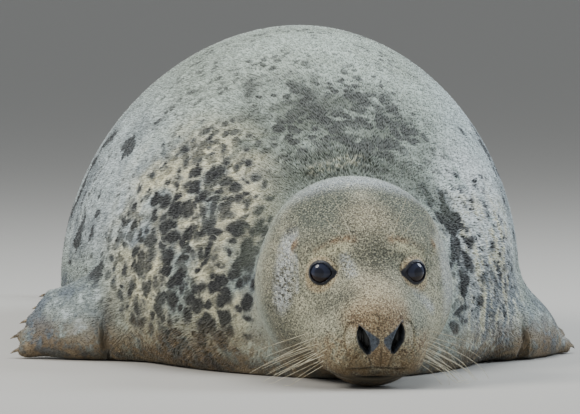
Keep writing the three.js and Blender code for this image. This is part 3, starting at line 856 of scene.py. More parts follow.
def trunk_markings(place):
    """Pale green-grey above, with dark blotches on cream and blue-grey along the flanks."""
    x, y, z = place.parts()
    broad = place.noise(6.0, 3.0, 0.6)
    ragged = place.noise(26.0, 5.0, 0.65)
    fine = place.noise(150.0, 3.0, 0.6)
    streaks = (place * (1.0, 0.9, 0.40)).noise(48.0, 4.0, 0.7)
    bent = place.wavy(24.0, 0.030) * STRETCH
    facing = place.spot((0.005, -0.390, 0.285), (0.150, 0.150, 0.100), 0.55)
    right = place.spot((-0.165, -0.395, 0.135), (0.100, 0.23, 0.175), 0.35)
    core = place.spot((-0.155, -0.450, 0.135), (0.075, 0.15, 0.120), 0.5)
    left = place.spot((0.195, -0.420, 0.150), (0.070, 0.19, 0.135), 0.4)
    low = place.spot((0.215, -0.400, 0.060), (0.060, 0.17, 0.085), 0.5)
    tone = place.blend(PALE_BACK, GREEN_GREY, broad.ramp(0.42, 0.64) * 0.4).marked(
        # Moss grey on the front of the back, towards the head: partly the coat's colour, partly painted
        # shade.
        (MOSS_GREY, facing * (ragged.ramp(0.32, 0.60) * 0.50 + 0.34)),
        # Blue-white on the flanks: partly the coat's colour, partly painted rim light.
        (BLUE_WHITE, abs(x).ramp(0.12, 0.25) * z.ramp(0.08, 0.16) * (ragged * 0.7 + 0.30)),
        # The right shoulder and flank: cream and blue-grey between the blotches.
        (CREAM, right * bent.noise(16.0, 3.0, 0.5).ramp(0.34, 0.54)),
        (BLUE_GREY, right * place.noise(15.0, 4.0, 0.6).ramp(0.50, 0.62) * 0.55),
        # The left shoulder: white and cream streaks beside the head and blue-grey below.
        (WHITE_HAIR, left * streaks.ramp(0.34, 0.48) * 0.95),
        (CREAM, left * streaks.ramp(0.50, 0.60) * z.ramp(0.24, 0.16) * 0.8),
        (BLUE_GREY, low * streaks.ramp(0.60, 0.44) * 0.85))

    # Dark spots: large and close on the shoulders, small and faint over the back, loose behind.
    reach = (right * 0.36 + core * 0.12).bigger(left * 0.24 + place.strips(0.6, *BESIDE_HEAD) * 0.36)
    edge = (fine - 0.5) * 0.28
    between = reach - 0.08 - bent.wavy(31.0, 0.020).apart(66.0)
    inside = (reach - bent.apart(47.0)).bigger(between) + edge
    small = (broad.ramp(0.38, 0.62) * 0.22 + facing * 0.24 + right * 0.16 + 0.15) * z.ramp(0.02, 0.10)
    dots = (small - bent.apart(78.0) + edge).ramp(-0.10, 0.08)
    depth = place.noise(17.0, 2.0).ramp(0.36, 0.60) * 0.60 + facing * 0.20 + 0.15
    far = abs(x).ramp(0.09, 0.20) * y.ramp(-0.34, -0.16) * z.ramp(0.36, 0.24)
    wide = far * (place * (1.0, 0.8, 1.0)).noise(15.0, 4.0, 0.60, 0.3).ramp(0.42, 0.60)
    tone = tone.marked(
        (BLUE_GREY, inside.ramp(-0.26, 0.02) * reach.ramp(0.05, 0.30) * 0.55),
        (NEAR_BLACK, inside.ramp(-0.13, 0.10) * (place.noise(13.0, 2.0).ramp(0.30, 0.52) * 0.25 + 0.74)),
        (DARK_GREY, dots * depth),
        (BLUE_GREY, wide * 0.55),
        (NEAR_BLACK, (wide * 0.52 - bent.apart(27.0) + edge).ramp(-0.07, 0.07) * 0.85))
    for start, end, width in STREAKS:
        streak = bent.strip(np.multiply(start, STRETCH), np.multiply(end, STRETCH), width, 0.9)
        tone = tone.mixed(DARK_GREY, streak * ragged.ramp(0.34, 0.50) * 0.95)

    # Painted shade behind the head, along the belly and in the folds beside the fore flippers, a pale
    # fold on the nape, and the flippers.
    shaded = right * z.ramp(0.110, 0.020)
    fold = place.strip((-0.025, -0.464, 0.244), (0.026, -0.452, 0.252), 0.009, 0.9)
    flippers = abs(x).ramp(0.245, 0.285) * z.ramp(0.11, 0.08)
    return tone.marked(
        (MOSS_GREY, place.strips(0.8, *BEHIND_HEAD) * 0.55),
        (OLIVE_DARK, shaded * 0.6),
        (NEAR_BLACK, shaded * ragged.ramp(0.50, 0.62) * 0.6),
        # Painted shade in the folds beside the fore flippers.
        (DAMP_AND_SHADE, place.strip(*ARMPIT_SHADE[0], 0.9) * 0.75),
        (DAMP_AND_SHADE, place.strip(*ARMPIT_SHADE[1], 0.9) * 0.75),
        (CREAM, fold * fine.ramp(0.44, 0.60) * 0.35),
        (BLUE_GREY, flippers * (ragged.ramp(0.36, 0.60) * 0.75 + 0.25)),
        (BLUE_WHITE, flippers * ragged.ramp(0.46, 0.34) * 0.6))


def face_markings(q):
    """Olive and tan, darker on the crown and by the mouth, with pale hair over the eyes and ears."""
    x, y, z = q.parts()
    from_line = abs(x - NOSE_LINE)
    paired = q.joined(abs(x), y, z)
    level = q.joined(from_line, y, z)
    speck = q.noise(540.0, 2.0, 0.6)
    mottle = q.noise(46.0, 4.0, 0.65)
    patchy = q.noise(120.0, 4.0, 0.7)
    fibres = (q * (1.6, 0.6, 1.0)).noise(330.0, 3.0, 0.6).ramp(0.38, 0.58)
    hairs = (q * (1.0, 0.35, 1.0)).noise(260.0, 4.0, 0.65)
    # Painted rim light along the edge of the left cheek.
    rim = x.ramp(0.088, 0.102) * z.ramp(-0.085, -0.050) * y.ramp(-0.075, -0.030)
    pad = (q.joined(from_line - PAD_AT[0], 0.0, z - PAD_AT[1]) / (PAD_SIZE[0], 1, PAD_SIZE[1])).size()
    crease = (pad.ramp(0.95, 1.15) * pad.ramp(1.50, 1.25) * y.ramp(-0.080, -0.092)
              * from_line.ramp(0.018, 0.026))
    whisker_pads = level.spot((0.038, -0.095, -0.075), (0.036, 0.045, 0.026), 0.3)
    arc = level.strip((0.024, -0.012, 0.0355), (0.044, -0.013, 0.0310), 0.0055, 0.9)
    arc = arc.bigger(level.strip((0.044, -0.013, 0.031), (0.064, -0.010, 0.018), 0.0040, 0.9) * 0.6)
    pale = level.strips(0.7, ((0.032, -0.018, 0.0275), (0.050, -0.017, 0.0220), 0.0060),
                        ((0.050, -0.017, 0.0220), (0.066, -0.013, 0.010), 0.0055))
    ring = (paired - (0.0575, -0.0285, -0.003)).size()
    inner = q.strip((-0.028, -0.028, 0.018), (-0.021, -0.044, 0.002), 0.0065, 0.8)
    outer = q.strip((0.058, -0.046, -0.021), (0.074, -0.040, -0.040), 0.0075, 0.9)
    band = q.strip((-0.088, 0.030, 0.012), (-0.095, -0.002, -0.044), 0.0165, 0.6)
    band = band.bigger(q.strip((0.092, 0.040, 0.010), (0.098, 0.015, -0.040), 0.012, 0.6) * 0.35)
    ear_edge = q.strip((-0.081, 0.006, 0.006), (-0.082, -0.020, -0.028), 0.0026, 0.8)
    tear = q.strip((-0.056, -0.060, -0.030), (-0.030, -0.078, -0.008), 0.013, 0.8)
    return q.blend(OLIVE, CROWN_GREY, mottle.ramp(0.44, 0.60) * 0.55).marked(
        # The crown with painted rim light over its back, painted rim light on the edge of the left cheek,
        # and the cheeks with painted shade low on the right one.
        (CROWN_GREY, paired.spot((0.050, 0.055, 0.050), (0.044, 0.062, 0.042), 0.5)),
        # Painted rim light over the back of the crown.
        (BLUE_WHITE, q.spot((0.006, 0.135, 0.050), (0.100, 0.056, 0.050), 0.4) * 0.80),
        (TAN, q.spot((0.004, 0.012, 0.052), (0.032, 0.034, 0.024), 0.6) * 0.30),
        (OLIVE_DARK, q.spot((0.006, -0.026, 0.020), (0.019, 0.040, 0.026), 0.6) * 0.72),
        # Painted rim light on the left cheek's edge.
        (BLUE_WHITE, rim * 0.5),
        # Painted shade low on the right cheek, beside the neck.
        (MOSS_GREY, q.spot((-0.095, 0.000, -0.090), (0.032, 0.090, 0.050), 0.6) * 0.55),
        (CREAM, paired.spot((0.066, -0.050, -0.050), (0.030, 0.050, 0.030), 0.7) * patchy * 0.55),
        # The muzzle, with painted shade in the creases round the nose pads and on its lower left side.
        (TAN, q.spot((0.003, -0.085, -0.026), (0.036, 0.050, 0.040), 0.5) * 0.55),
        (BROWN_TAN, q.spot((0.004, -0.100, -0.030), (0.038, 0.030, 0.022), 0.5) * 0.65),
        (BROWN, level.spot((0.029, -0.107, -0.027), (0.009, 0.014, 0.007), 0.6) * 0.60),
        (CREAM, level.spot((0.033, -0.106, -0.049), (0.008, 0.020, 0.013), 0.8) * 0.20),
        # Painted shade in the crease round each nose pad.
        (BROWN, crease * (patchy.ramp(0.35, 0.60) * 0.45)),
        # Painted shade on the lower left side of the muzzle.
        (OLIVE_DARK, q.spot((0.046, -0.090, -0.064), (0.026, 0.050, 0.026), 0.6) * 0.55),
        (TAN, whisker_pads * patchy.ramp(0.38, 0.52) * 0.75),
        (BROWN, whisker_pads * patchy.ramp(0.51, 0.60) * 0.85),
        (BROWN_TAN, level.spot((0.0, -0.124, -0.068), (0.014, 0.02, 0.018), 0.4) * 0.7),
        (DAMP_AND_SHADE, z.ramp(-0.0835, -0.094) * y.ramp(-0.02, -0.06) * 0.85),
        # Over and round the eyes.
        (BROWN_TAN, arc * (patchy.ramp(0.38, 0.56) * 0.45 + 0.25)),
        (CREAM, pale),
        (TAN, ring.ramp(0.0245, 0.0195) * 0.75),
        (WHITE_HAIR, inner * fibres * 0.9),
        (WHITE_HAIR, outer * (fibres * 0.5 + 0.4) * 0.9),
        (OLIVE_DARK, tear * 0.65),
        (GREEN_GREY, q.spot((0.055, -0.070, -0.030), (0.016, 0.03, 0.020), 0.6) * 0.6),
        # By the ears, and much fainter on the left.
        (WHITE_HAIR, band * hairs.ramp(0.36, 0.52)),
        (NEAR_BLACK, band * hairs.ramp(0.50, 0.40) * (z.ramp(0.004, -0.030) * 0.75 + 0.10)),
        (WHITE_HAIR, ear_edge * 0.75),
        (BROWN_TAN, paired.spot((0.083, 0.015, 0.016), (0.005, 0.006, 0.009), 0.8) * 0.8),
        (NEAR_BLACK, paired.spot((0.087, 0.040, 0.024), (0.009, 0.012, 0.007), 0.8) * 0.7),
        # Single dark and pale hairs.
        (SPECK_BLACK, speck.ramp(0.48, 0.60) * 0.72),
        (CREAM, speck.ramp(0.46, 0.34) * 0.62))


def markings(start, place):
    """The seal's colours at a place on her, and that place in the head's axes."""
    inside_head = place - tuple(HEAD_AT)
    q = start.joined(*(inside_head.along(tuple(axis)) for axis in HEAD_AXES))
    on_head = q.spot((0, 0.005, -0.03), (0.125, 0.165, 0.130), 0.10)
    height = place.parts()[2]
    grit = place.noise(55.0, 4.0, 0.65)
    tone = trunk_markings(place).marked(
        (face_markings(q), on_head),
        # Sand and damp along the ground and on the flippers' ends.
        (SANDY, height.ramp(0.070, 0.012) * grit.ramp(0.36, 0.54) * 0.85),
        (DAMP_AND_SHADE, height.ramp(0.034, 0.004) * grit.ramp(0.62, 0.42) * 0.8))
    return tone, q


def coat_material(name, on_skin):
    """The markings with painted shade between the hairs: on the skin with its leather and painted shade
    in its pits, on the tufts with their own tones.
    """
    material, start = new_material(name)
    place = start.place() - tuple(SHIFT)
    tone, q = markings(start, place)
    hair_gaps = place.noise(380.0, 2.0, 0.6)
    # Painted shade between the hairs.
    tone = tone.mixed(HAIR_GAP_SHADE, hair_gaps.ramp(0.45, 0.75) * 0.38)
    if on_skin:
        bare = start.attribute("bare")
        pit_shade = start.attribute("pit_shade")
        on_nose = q.spot((NOSE_X, -0.124, -0.046), (0.036, 0.04, 0.022), 0.15)
        on_lip = q.parts()[2].ramp(-0.080, -0.088)
        worn = place.noise(210.0, 4.0, 0.7).ramp(0.32, 0.66)
        leather = start.blend(LID_BLACK, NOSE_LEATHER, on_nose * worn).mixed(LIP_BROWN, on_lip)
        # Bare leather, then painted shade in the pits and creases.
        tone = tone.mixed(leather, bare).mixed(PIT_SHADE_BLACK, pit_shade)
        lain = start.node("ShaderNodeUVMap", {"uv_map": "OFBake"}) * (620.0, 210.0, 1.0)
        hairs = lain.noise(1.0, 3.0, 0.6)
        pores = q.noise(700.0, 2.0) * 0.25
        finish_material(start, {**SHEEN, "Base Color": tone, "Roughness": 0.8 - bare * 0.42},
                        (0.8, 0.0015, hairs * (1 - bare) + pores * bare))
    else:
        tone = tone * (start.attribute("own_tone") * 0.42 + 1.0)
        finish_material(start, {**SHEEN, "Base Color": tone, "Roughness": 0.75})
    return material


def eye_material():
    """Near-black: brown below, and blue above as a painted reflection of an open sky."""
    material, start = new_material("wet_eye")
    out = start.attribute("outward")
    lift = start.attribute("lift")
    # Painted reflection: the upper part of the eye is blue, as a sky seen in it.
    tone = start.blend(EYE_BROWN, SKY_REFLECTION_BLUE, lift.ramp(0.0, 0.14)).marked(
        (EYE_EDGE, out.ramp(0.80, 0.70)),
        (PUPIL, out.ramp(0.93, 0.97) * 0.6))
    finish_material(start, {"Base Color": tone, "Roughness": 0.03, "IOR": 1.42})
    return material


def horn_material():
    material, start = new_material("claw_horn")
    place = start.place()
    streaks = place.noise(260.0, 3.0)
    tone = start.blend(HORN_DARK, HORN_PALE, streaks.ramp(0.40, 0.66))
    finish_material(start, {"Base Color": tone, "Roughness": 0.4}, (0.3, 0.0004, streaks))
    return material


def whisker_material():
    material, start = new_material("whisker")
    place = start.place()
    aged = place.noise(90.0, 2.0).ramp(0.45, 0.7)
    tone = start.blend(WHISKER_PALE, WHISKER_DARK, aged)
    finish_material(start, {"Base Color": tone, "Roughness": 0.35})
    return material


# ---------- settings ----------

class SealSkinSettings(bpy.types.PropertyGroup):
    """Sizes of the skin's mesh."""
    voxel: FloatProperty(name="Voxel", description="Mesh size on the trunk", default=0.010,
                         min=0.003, unit="LENGTH")
    levels: IntProperty(name="Finer levels", description="How often the mesh is halved near the face",
                        default=3, min=0, max=3)


class SealCoatSettings(bpy.types.PropertyGroup):
    """Sizes and numbers of the coat's tufts."""
    layers: IntProperty(name="Layers", description="Pieces that the coat is split into", default=7, min=1)
    tufts: IntProperty(name="Tufts", description="Tufts in each layer", default=33000, min=100)
    length: FloatProperty(name="Length", description="A tuft's length on the trunk", default=0.0090,
                          unit="LENGTH")
    width: FloatProperty(name="Width", description="A tuft's width on the trunk", default=0.0014,
                         unit="LENGTH")
    clump: FloatProperty(name="Clump", description="How far apart the tufts gather", default=0.010,
                         unit="LENGTH")
    seed: IntProperty(name="Seed", description="Fixes where the tufts grow", default=4)


class SealWhiskerSettings(bpy.types.PropertyGroup):
    """Sizes of the whiskers."""
    root_radius: FloatProperty(name="Root radius", description="Radius where a whisker grows out",
                               default=0.00036, precision=5, unit="LENGTH")
    tip_radius: FloatProperty(name="Tip radius", description="Radius at a whisker's end", default=0.00014,
                              precision=5, unit="LENGTH")
    seed: IntProperty(name="Seed", description="Fixes how the whiskers vary", default=2)


class SealStageSettings(bpy.types.PropertyGroup):
    """The floor's colour and the camera."""
    floor_tone: FloatVectorProperty(name="Floor", description="The floor's colour", subtype="COLOR",
                                    default=(0.45, 0.437, 0.410), min=0, max=1)
    lens: FloatProperty(name="Lens", description="Focal length in millimetres", default=404.3)
    turn: FloatProperty(name="Turn", description="Where the camera stands round the seal",
                        default=math.radians(-8.5), subtype="ANGLE")
    distance: FloatProperty(name="Distance", description="From the chin to the camera along the floor",
                            default=7.5, unit="LENGTH")
    height: FloatProperty(name="Height", description="The camera's height", default=0.556, unit="LENGTH")


# ---------- pieces ----------

class SEAL_OT_skin(bpy.types.Operator):
    """Build one skin over the flesh, with its folds, lids and nostrils"""
    bl_idname = "seal.skin"
    bl_label = "Skin"

    def execute(self, context):
        settings = context.scene.seal_skin
        shell = self.shell(settings.voxel)
        for zone in ("outer", "face", "detail")[:settings.levels]:
            self.halve(shell, zone)
        place_points(shell.data, self.evened(shell.data, points_of(shell.data)))
        self.shape(shell.data)
        self.lay_flat(shell.data)
        finish_piece(shell, coat_material("skin_coat", True), "coat", *FLESH)
        return {"FINISHED"}

    @staticmethod
    def shell(voxel):
        """One closed mesh round all the nodes of flesh."""
        whole = bmesh.new()
        for name in FLESH:
            whole.from_mesh(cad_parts[name].data)
        mesh = bpy.data.meshes.new("flesh")
        bmesh.ops.remove_doubles(whole, verts=whole.verts, dist=1e-6)
        whole.to_mesh(mesh)
        whole.free()
        rough = to_scene("flesh", mesh)
        remesh = rough.modifiers.new("remesh", "REMESH")
        remesh.mode = "VOXEL"
        remesh.voxel_size = voxel
        evaluated = rough.evaluated_get(bpy.context.evaluated_depsgraph_get())
        skin = bpy.data.meshes.new_from_object(evaluated)
        bpy.data.objects.remove(rough)
        skin.name = "seal_skin"
        place_points(skin, settle(skin_field, points_of(skin), 4))
        return to_scene("seal_skin", skin)

    @staticmethod
    def halve(shell, zone):
        """Halves the mesh in one zone: head and limbs, the face, or the eyes, nose, lips and ears."""
        mesh = shell.data
        points = points_of(mesh)
        if zone == "outer":
            wanted = (points[:, 1] < -0.42) | (body(points) > 0.002) | (into_armpit(points) < 0.030)
        elif zone == "face":
            wanted = (to_head(points)[:, 1] < 0.035) & (points[:, 1] < -0.60)
        else:
            wanted = face_distance(points) < 0.001
        split = bmesh.new()
        split.from_mesh(mesh)
        split.verts.ensure_lookup_table()
        edges = [e for e in split.edges if wanted[e.verts[0].index] and wanted[e.verts[1].index]]
        bmesh.ops.subdivide_edges(split, edges=edges, cuts=1, use_grid_fill=True)
        bmesh.ops.triangulate(split, faces=[f for f in split.faces if len(f.verts) > 4])
        split.to_mesh(mesh)
        split.free()

    @staticmethod
    def evened(mesh, points, rounds=2):
        """Evens the mesh out along the surface."""
        ends = read(mesh.edges, "vertices", 2, np.int32)
        first, second = ends.T
        count = np.bincount(ends.ravel(), minlength=len(points))[:, None]
        for _ in range(rounds):
            total = np.zeros_like(points)
            np.add.at(total, first, points[second])
            np.add.at(total, second, points[first])
            points = settle(skin_field, points * 0.4 + total / np.maximum(count, 1) * 0.6, 1)
        return settle(skin_field, points, 1)

    @staticmethod
    def shape(mesh):
        """Shapes the face, and stores how bare the skin is and how much painted shade lies in its pits
        and creases.
        """
        points = points_of(mesh)
        normals = unit(slope(skin_field, points))
        bare = np.zeros(len(points))
        pit_shade = np.zeros(len(points))
        near = points[:, 1] < -0.62
        q, bare[near], pit_shade[near] = shape_face(to_head(points[near]), normals[near] @ HEAD_AXES.T)
        points[near] = from_head(q)
        # Painted shade in the folds beside the fore flippers.
        pit_shade = np.maximum(pit_shade, 0.7 * smooth(0.002, -0.001, into_armpit(points)))
        place_points(mesh, points)
        store(mesh, "bare", bare)
        store(mesh, "pit_shade", pit_shade)

    @staticmethod
    def lay_flat(mesh):
        """Gives the skin its unwrap: each face is on one part of it and on one side of the seam."""
        points = points_of(mesh)[read(mesh.loops, "vertex_index", kind=np.int32)]
        starts = read(mesh.polygons, "loop_start", kind=np.int32)
        totals = read(mesh.polygons, "loop_total", kind=np.int32)
        face_of = np.repeat(np.arange(len(starts)), totals)
        middles = np.add.reduceat(points, starts, axis=0) / totals[:, None]
        owner = owner_of(middles)[face_of]
        uv = unwrap(points, read(mesh.polygons, "normal", 3)[face_of], owner)
        highest = np.maximum.reduceat(uv[:, 0], starts)[face_of]
        lowest = np.minimum.reduceat(uv[:, 0], starts)[face_of]
        crossing = (highest - lowest > 0.5) & (uv[:, 0] < 0.5) & (owner < 0)
        uv[crossing, 0] = np.minimum(uv[crossing, 0] + FULL_TURN, 1.0)
        store_unwrap(mesh, uv)


class SEAL_OT_coat(bpy.types.Operator):
    """Grow the coat's tufts over the skin, in layers that each run from nose to tail"""
    bl_idname = "seal.coat"
    bl_label = "Coat"

    STRAY = 0.16                # how far a tuft turns from the lie of the coat
    LIFT = (4, 10)              # how steeply it stands, in degrees
    BROADEST = 0.42             # where along it a tuft is broadest
    RIDGE = 0.55                # how high it is there, in shares of its half width
    NARROWEST = 0.32            # in shares of the width on the trunk
    GROUND_GAP = 0.0003
    FACES = np.array([[0, 1, 3], [0, 3, 2], [0, 2, 1], [4, 3, 1], [4, 2, 3], [4, 1, 2]])
    PATCH = np.array([[0, -1.0], [-0.9, 0], [0.9, 0], [0, 0.2], [0, 1.0]]) * 0.0015

    def execute(self, context):
        settings = context.scene.seal_coat
        skin = bpy.data.objects.get("seal_skin")
        if skin is None:
            raise RuntimeError("The coat grows on the skin: build the skin first")
        material = coat_material("tuft_coat", False)
        chance = np.random.default_rng(settings.seed)
        roots, normals = self.roots(skin.data, settings.tufts * settings.layers, chance)
        for i in range(settings.layers):
            mine = slice(i, None, settings.layers)
            layer = self.layer(f"coat_layer_{i + 1}", roots[mine], normals[mine], settings, chance)
            finish_piece(layer, material, "coat")
        return {"FINISHED"}

    @staticmethod
    def roots(mesh, count, chance):
        """Places for tufts: closest on the face, and none on bare skin or under the belly."""
        mesh.calc_loop_triangles()
        triangles = read(mesh.loop_triangles, "vertices", 3, np.int32)
        points, normals = points_of(mesh), read(mesh.vertex_normals, "vector", 3).astype(float)
        bare, pit_shade = (read(mesh.attributes[name].data, "value") for name in ("bare", "pit_shade"))
        hairy = np.maximum(bare, pit_shade)[triangles].max(1) < 0.3
        a, b, c = (points[triangles[:, i]] for i in range(3))
        middle = (a + b + c) / 3
        area = np.linalg.norm(np.cross(b - a, c - a), axis=1) / 2
        dense = by_nose(middle, [0.10, 0.24, 0.45], [6.5, 3.6, 1.0])
        dense = dense + (2.2 - dense) * out_on_limbs(middle)
        share = area * dense * hairy * smooth(0.001, 0.006, middle[:, 2])
        corners = triangles[chance.choice(len(area), count, p=share / share.sum())].T
        u, v = chance.random((2, count, 1))
        over = u + v > 1
        u, v = np.where(over, 1 - u, u), np.where(over, 1 - v, v)
        shares = (1 - u - v, u, v)
        places, ways = (sum(values[i] * share for i, share in zip(corners, shares))
                        for values in (points, normals))
        return places, unit(ways)

    def layer(self, name, roots, normals, settings, chance):
        """One layer: each tuft is a thin closed spindle with a ridge, from its root to its raised tip."""
        count = len(roots)
        lie = lie_of_coat(roots, normals)
        gather = to_clump(roots, settings.clump)
        outer = out_on_limbs(roots)
        fine = by_nose(roots, [0.03, 0.10, 0.20, 0.42], [0.26, 0.36, 0.52, 1.0])
        fine = fine + (0.5 - fine) * outer
        loose = by_nose(roots, [0.25, 0.45], [0.15, 0.6]) * (1 - outer)
        rough = ruffled(roots)
        loose = loose + rough * 0.6
        fine = fine * (1 + 0.25 * rough)
        length = settings.length * fine * chance.uniform(0.75, 1.25, count)
        pull = gather + lie * length[:, None]
        pull -= normals * (pull * normals).sum(1, keepdims=True)
        sideways = np.cross(normals, lie)
        stray = chance.normal(0, self.STRAY, count)[:, None] * sideways
        way = unit(lie + pull / settings.clump * 0.5 * loose[:, None] + stray)
        sideways = np.cross(normals, way)
        lift = chance.uniform(*self.LIFT, count) + (4 * loose + 14 * rough) * chance.random(count)
        lift = np.radians(lift)
        half = settings.width * 0.5 * np.maximum(fine, self.NARROWEST)[:, None]
        half = half * chance.uniform(0.8, 1.2, (count, 1))
        along = way * np.cos(lift)[:, None] + normals * np.sin(lift)[:, None]
        middle = roots + along * (self.BROADEST * length)[:, None]
        tip = roots + way * (length * 0.98)[:, None] + normals * (length * np.sin(lift) * 0.85)[:, None]
        root = roots - normals * (0.25 * half)
        points = np.stack([root, middle + sideways * half, middle - sideways * half,
                           middle + normals * half * self.RIDGE, tip], 1).reshape(-1, 3)
        points[:, 2] = np.maximum(points[:, 2], self.GROUND_GAP)
        corners = len(self.PATCH)
        faces = (self.FACES + corners * np.arange(count)[:, None, None]).reshape(-1, 3)
        made = new_object(name, points, faces)
        uv = unwrap(roots, normals, owner_of(roots))[:, None, :] + self.PATCH
        store_unwrap(made.data, np.clip(uv.reshape(-1, 2), 0.0002, 0.9998)[faces.ravel()])
        own_tone = np.clip(chance.normal(0, 0.5, count), -1, 1)
        store(made.data, "own_tone", np.repeat(own_tone, corners))
        return made


class SEAL_OT_eyes(bpy.types.Operator):
    """Build the two glossy eyeballs, each with its cornea"""
    bl_idname = "seal.eyes"
    bl_label = "Eyes"

    RINGS = 40
    SECTORS = 48
    CORNEA = 0.035      # how far the cornea stands out, in shares of the eye's radius

    def execute(self, context):
        material = eye_material()
        for hand, side in SIDES.items():
            made = self.eyeball(f"eyeball_{hand}", side)
            finish_piece(made, material, "eye", f"eye_{hand}")
        return {"FINISHED"}

    def eyeball(self, name, side):
        """A sphere with a cornea, and on it how far each point looks outward and upward."""
        centre, inner, _, out = eye_axes(side)
        ball = bmesh.new()
        bmesh.ops.create_uvsphere(ball, u_segments=self.SECTORS, v_segments=self.RINGS, radius=1)
        mesh = bpy.data.meshes.new(name)
        ball.to_mesh(mesh)
        ball.free()
        sphere = points_of(mesh) + SHIFT
        outward = sphere[:, 2]
        cornea = 1 + self.CORNEA * smooth(0.72, 0.97, outward)
        axes = np.stack([inner, np.cross(out, inner), out])
        place_points(mesh, from_head(centre + (sphere * cornea[:, None]) @ axes * EYE_RADIUS))
        mesh.polygons.foreach_set("use_smooth", np.ones(len(mesh.polygons), bool))
        store(mesh, "outward", outward)
        store(mesh, "lift", (sphere @ axes)[:, 2])
        return to_scene(name, mesh)


# ---------- strands: whiskers and claws ----------

def strand_tree():
    """A tree that turns lines into tapering strands: flat or round, and closed at both ends."""
    tree = bpy.data.node_groups.new("tapering_strands", "GeometryNodeTree")
    tree.is_modifier = True
    face = tree.interface
    face.new_socket("Geometry", in_out="OUTPUT", socket_type="NodeSocketGeometry")
    face.new_socket("Lines", in_out="INPUT", socket_type="NodeSocketGeometry")
    for name, kind, default in (("Root radius", "Float", 0.0005), ("Tip radius", "Float", 0.0002),
                                ("Taper", "Float", 1.0), ("Flatness", "Float", 1.0), ("Sides", "Int", 6)):
        socket = face.new_socket(name, in_out="INPUT", socket_type="NodeSocket" + kind)
        socket.default_value = default
    face.new_socket("Material", in_out="INPUT", socket_type="NodeSocketMaterial")

    start = Term(tree)

    def given(name):
        return start.node("NodeGroupInput", {}, {}, name)

    line = start.node("GeometryNodeMeshToCurve", {}, {"Mesh": given("Lines")}, "Curve")
    share = start.node("GeometryNodeSplineParameter", {}, {}, "Factor")
    bent = start.node("ShaderNodeMath", {"operation": "POWER"}, {0: share, 1: given("Taper")})
    radius = start.node("ShaderNodeMapRange", {}, {
        "Value": bent, "To Min": given("Root radius"), "To Max": given("Tip radius")})
    ring = start.node("GeometryNodeCurvePrimitiveCircle", {"mode": "RADIUS"},
                      {"Resolution": given("Sides"), "Radius": 1.0}, "Curve")
    ring = start.node("GeometryNodeTransform", {}, {
        "Geometry": ring, "Scale": start.joined(1.0, given("Flatness"), 1.0)})
    tube = start.node("GeometryNodeCurveToMesh", {}, {
        "Curve": line, "Profile Curve": ring, "Scale": radius, "Fill Caps": True})
    tube = start.node("GeometryNodeSetShadeSmooth", {}, {"Geometry": tube})
    tube = start.node("GeometryNodeRealizeInstances", {}, {"Geometry": tube})
    tube = start.node("GeometryNodeSetMaterial", {}, {"Geometry": tube, "Material": given("Material")})
    out = tree.nodes.new("NodeGroupOutput")
    tree.links.new(tube.socket, out.inputs["Geometry"])
    return tree


def strands(name, lines, material, **values):
    """A plain mesh of tapering strands along lines of points."""
    edges, start = [], 0
    for line in lines:
        edges += [(start + i, start + i + 1) for i in range(len(line) - 1)]
        start += len(line)
    mesh = bpy.data.meshes.new(name + "_lines")
    mesh.from_pydata([tuple(p) for p in np.concatenate(lines) + SHIFT], edges, [])
    guide = to_scene(name + "_lines", mesh)
    tree = bpy.data.node_groups.get("tapering_strands") or strand_tree()
    modifier = guide.modifiers.new("strands", "NODES")
    modifier.node_group = tree
    names = {item.name: item.identifier for item in tree.interface.items_tree}
    for key, value in values.items():
        modifier[names[key.replace("_", " ").capitalize()]] = value
    modifier[names["Material"]] = material
    evaluated = guide.evaluated_get(bpy.context.evaluated_depsgraph_get())
    made = to_scene(name, bpy.data.meshes.new_from_object(evaluated))
    bpy.data.objects.remove(guide)
    return made


class SEAL_OT_claws(bpy.types.Operator):
    """Build the claws of the fore and the hind flippers"""
    bl_idname = "seal.claws"
    bl_label = "Claws"

    # The claws' length, their radius at the root and how far their tips droop.
    CLAWS = {"fore": (0.014, 0.0034, 0.004), "hind": (0.011, 0.0026, 0.001)}
    STEPS = 9

    def execute(self, context):
        material = horn_material()
        for kind, (length, radius, droop) in self.CLAWS.items():
            lines, nodes = [], []
            for hand in SIDES:
                limb = LIMBS[f"{kind}_{hand}"]
                for i, (start, end) in enumerate(limb.rods):
                    lines.append(self.line(limb, start, end, length, droop))
                    nodes.append(f"{kind}_claw_{hand}_{i + 1}")
            made = strands(f"{kind}_claws", lines, material, root_radius=radius, tip_radius=radius * 0.12,
                           taper=1.7, flatness=0.8, sides=10)
            finish_piece(made, material, "claw", *nodes)
        return {"FINISHED"}

    def line(self, limb, start, end, length, droop):
        """A claw's middle line: out of the back of the toe's tip, bending down to its point."""
        along = unit(limb.outside(end) - limb.outside(start))
        back = unit(limb.axes[2] - along * (limb.axes[2] @ along))
        tip = limb.toe["tip"]
        seat = limb.outside(end) + along * tip * 0.25 + back * tip * 0.35
        share = np.linspace(0, 1, self.STEPS)[:, None]
        line = seat + along * (length * 1.1) * share - np.array([0, 0, droop]) * share ** 2
        line[:, 2] = np.maximum(line[:, 2], 0.0035 - 0.003 * share[:, 0])
        return line


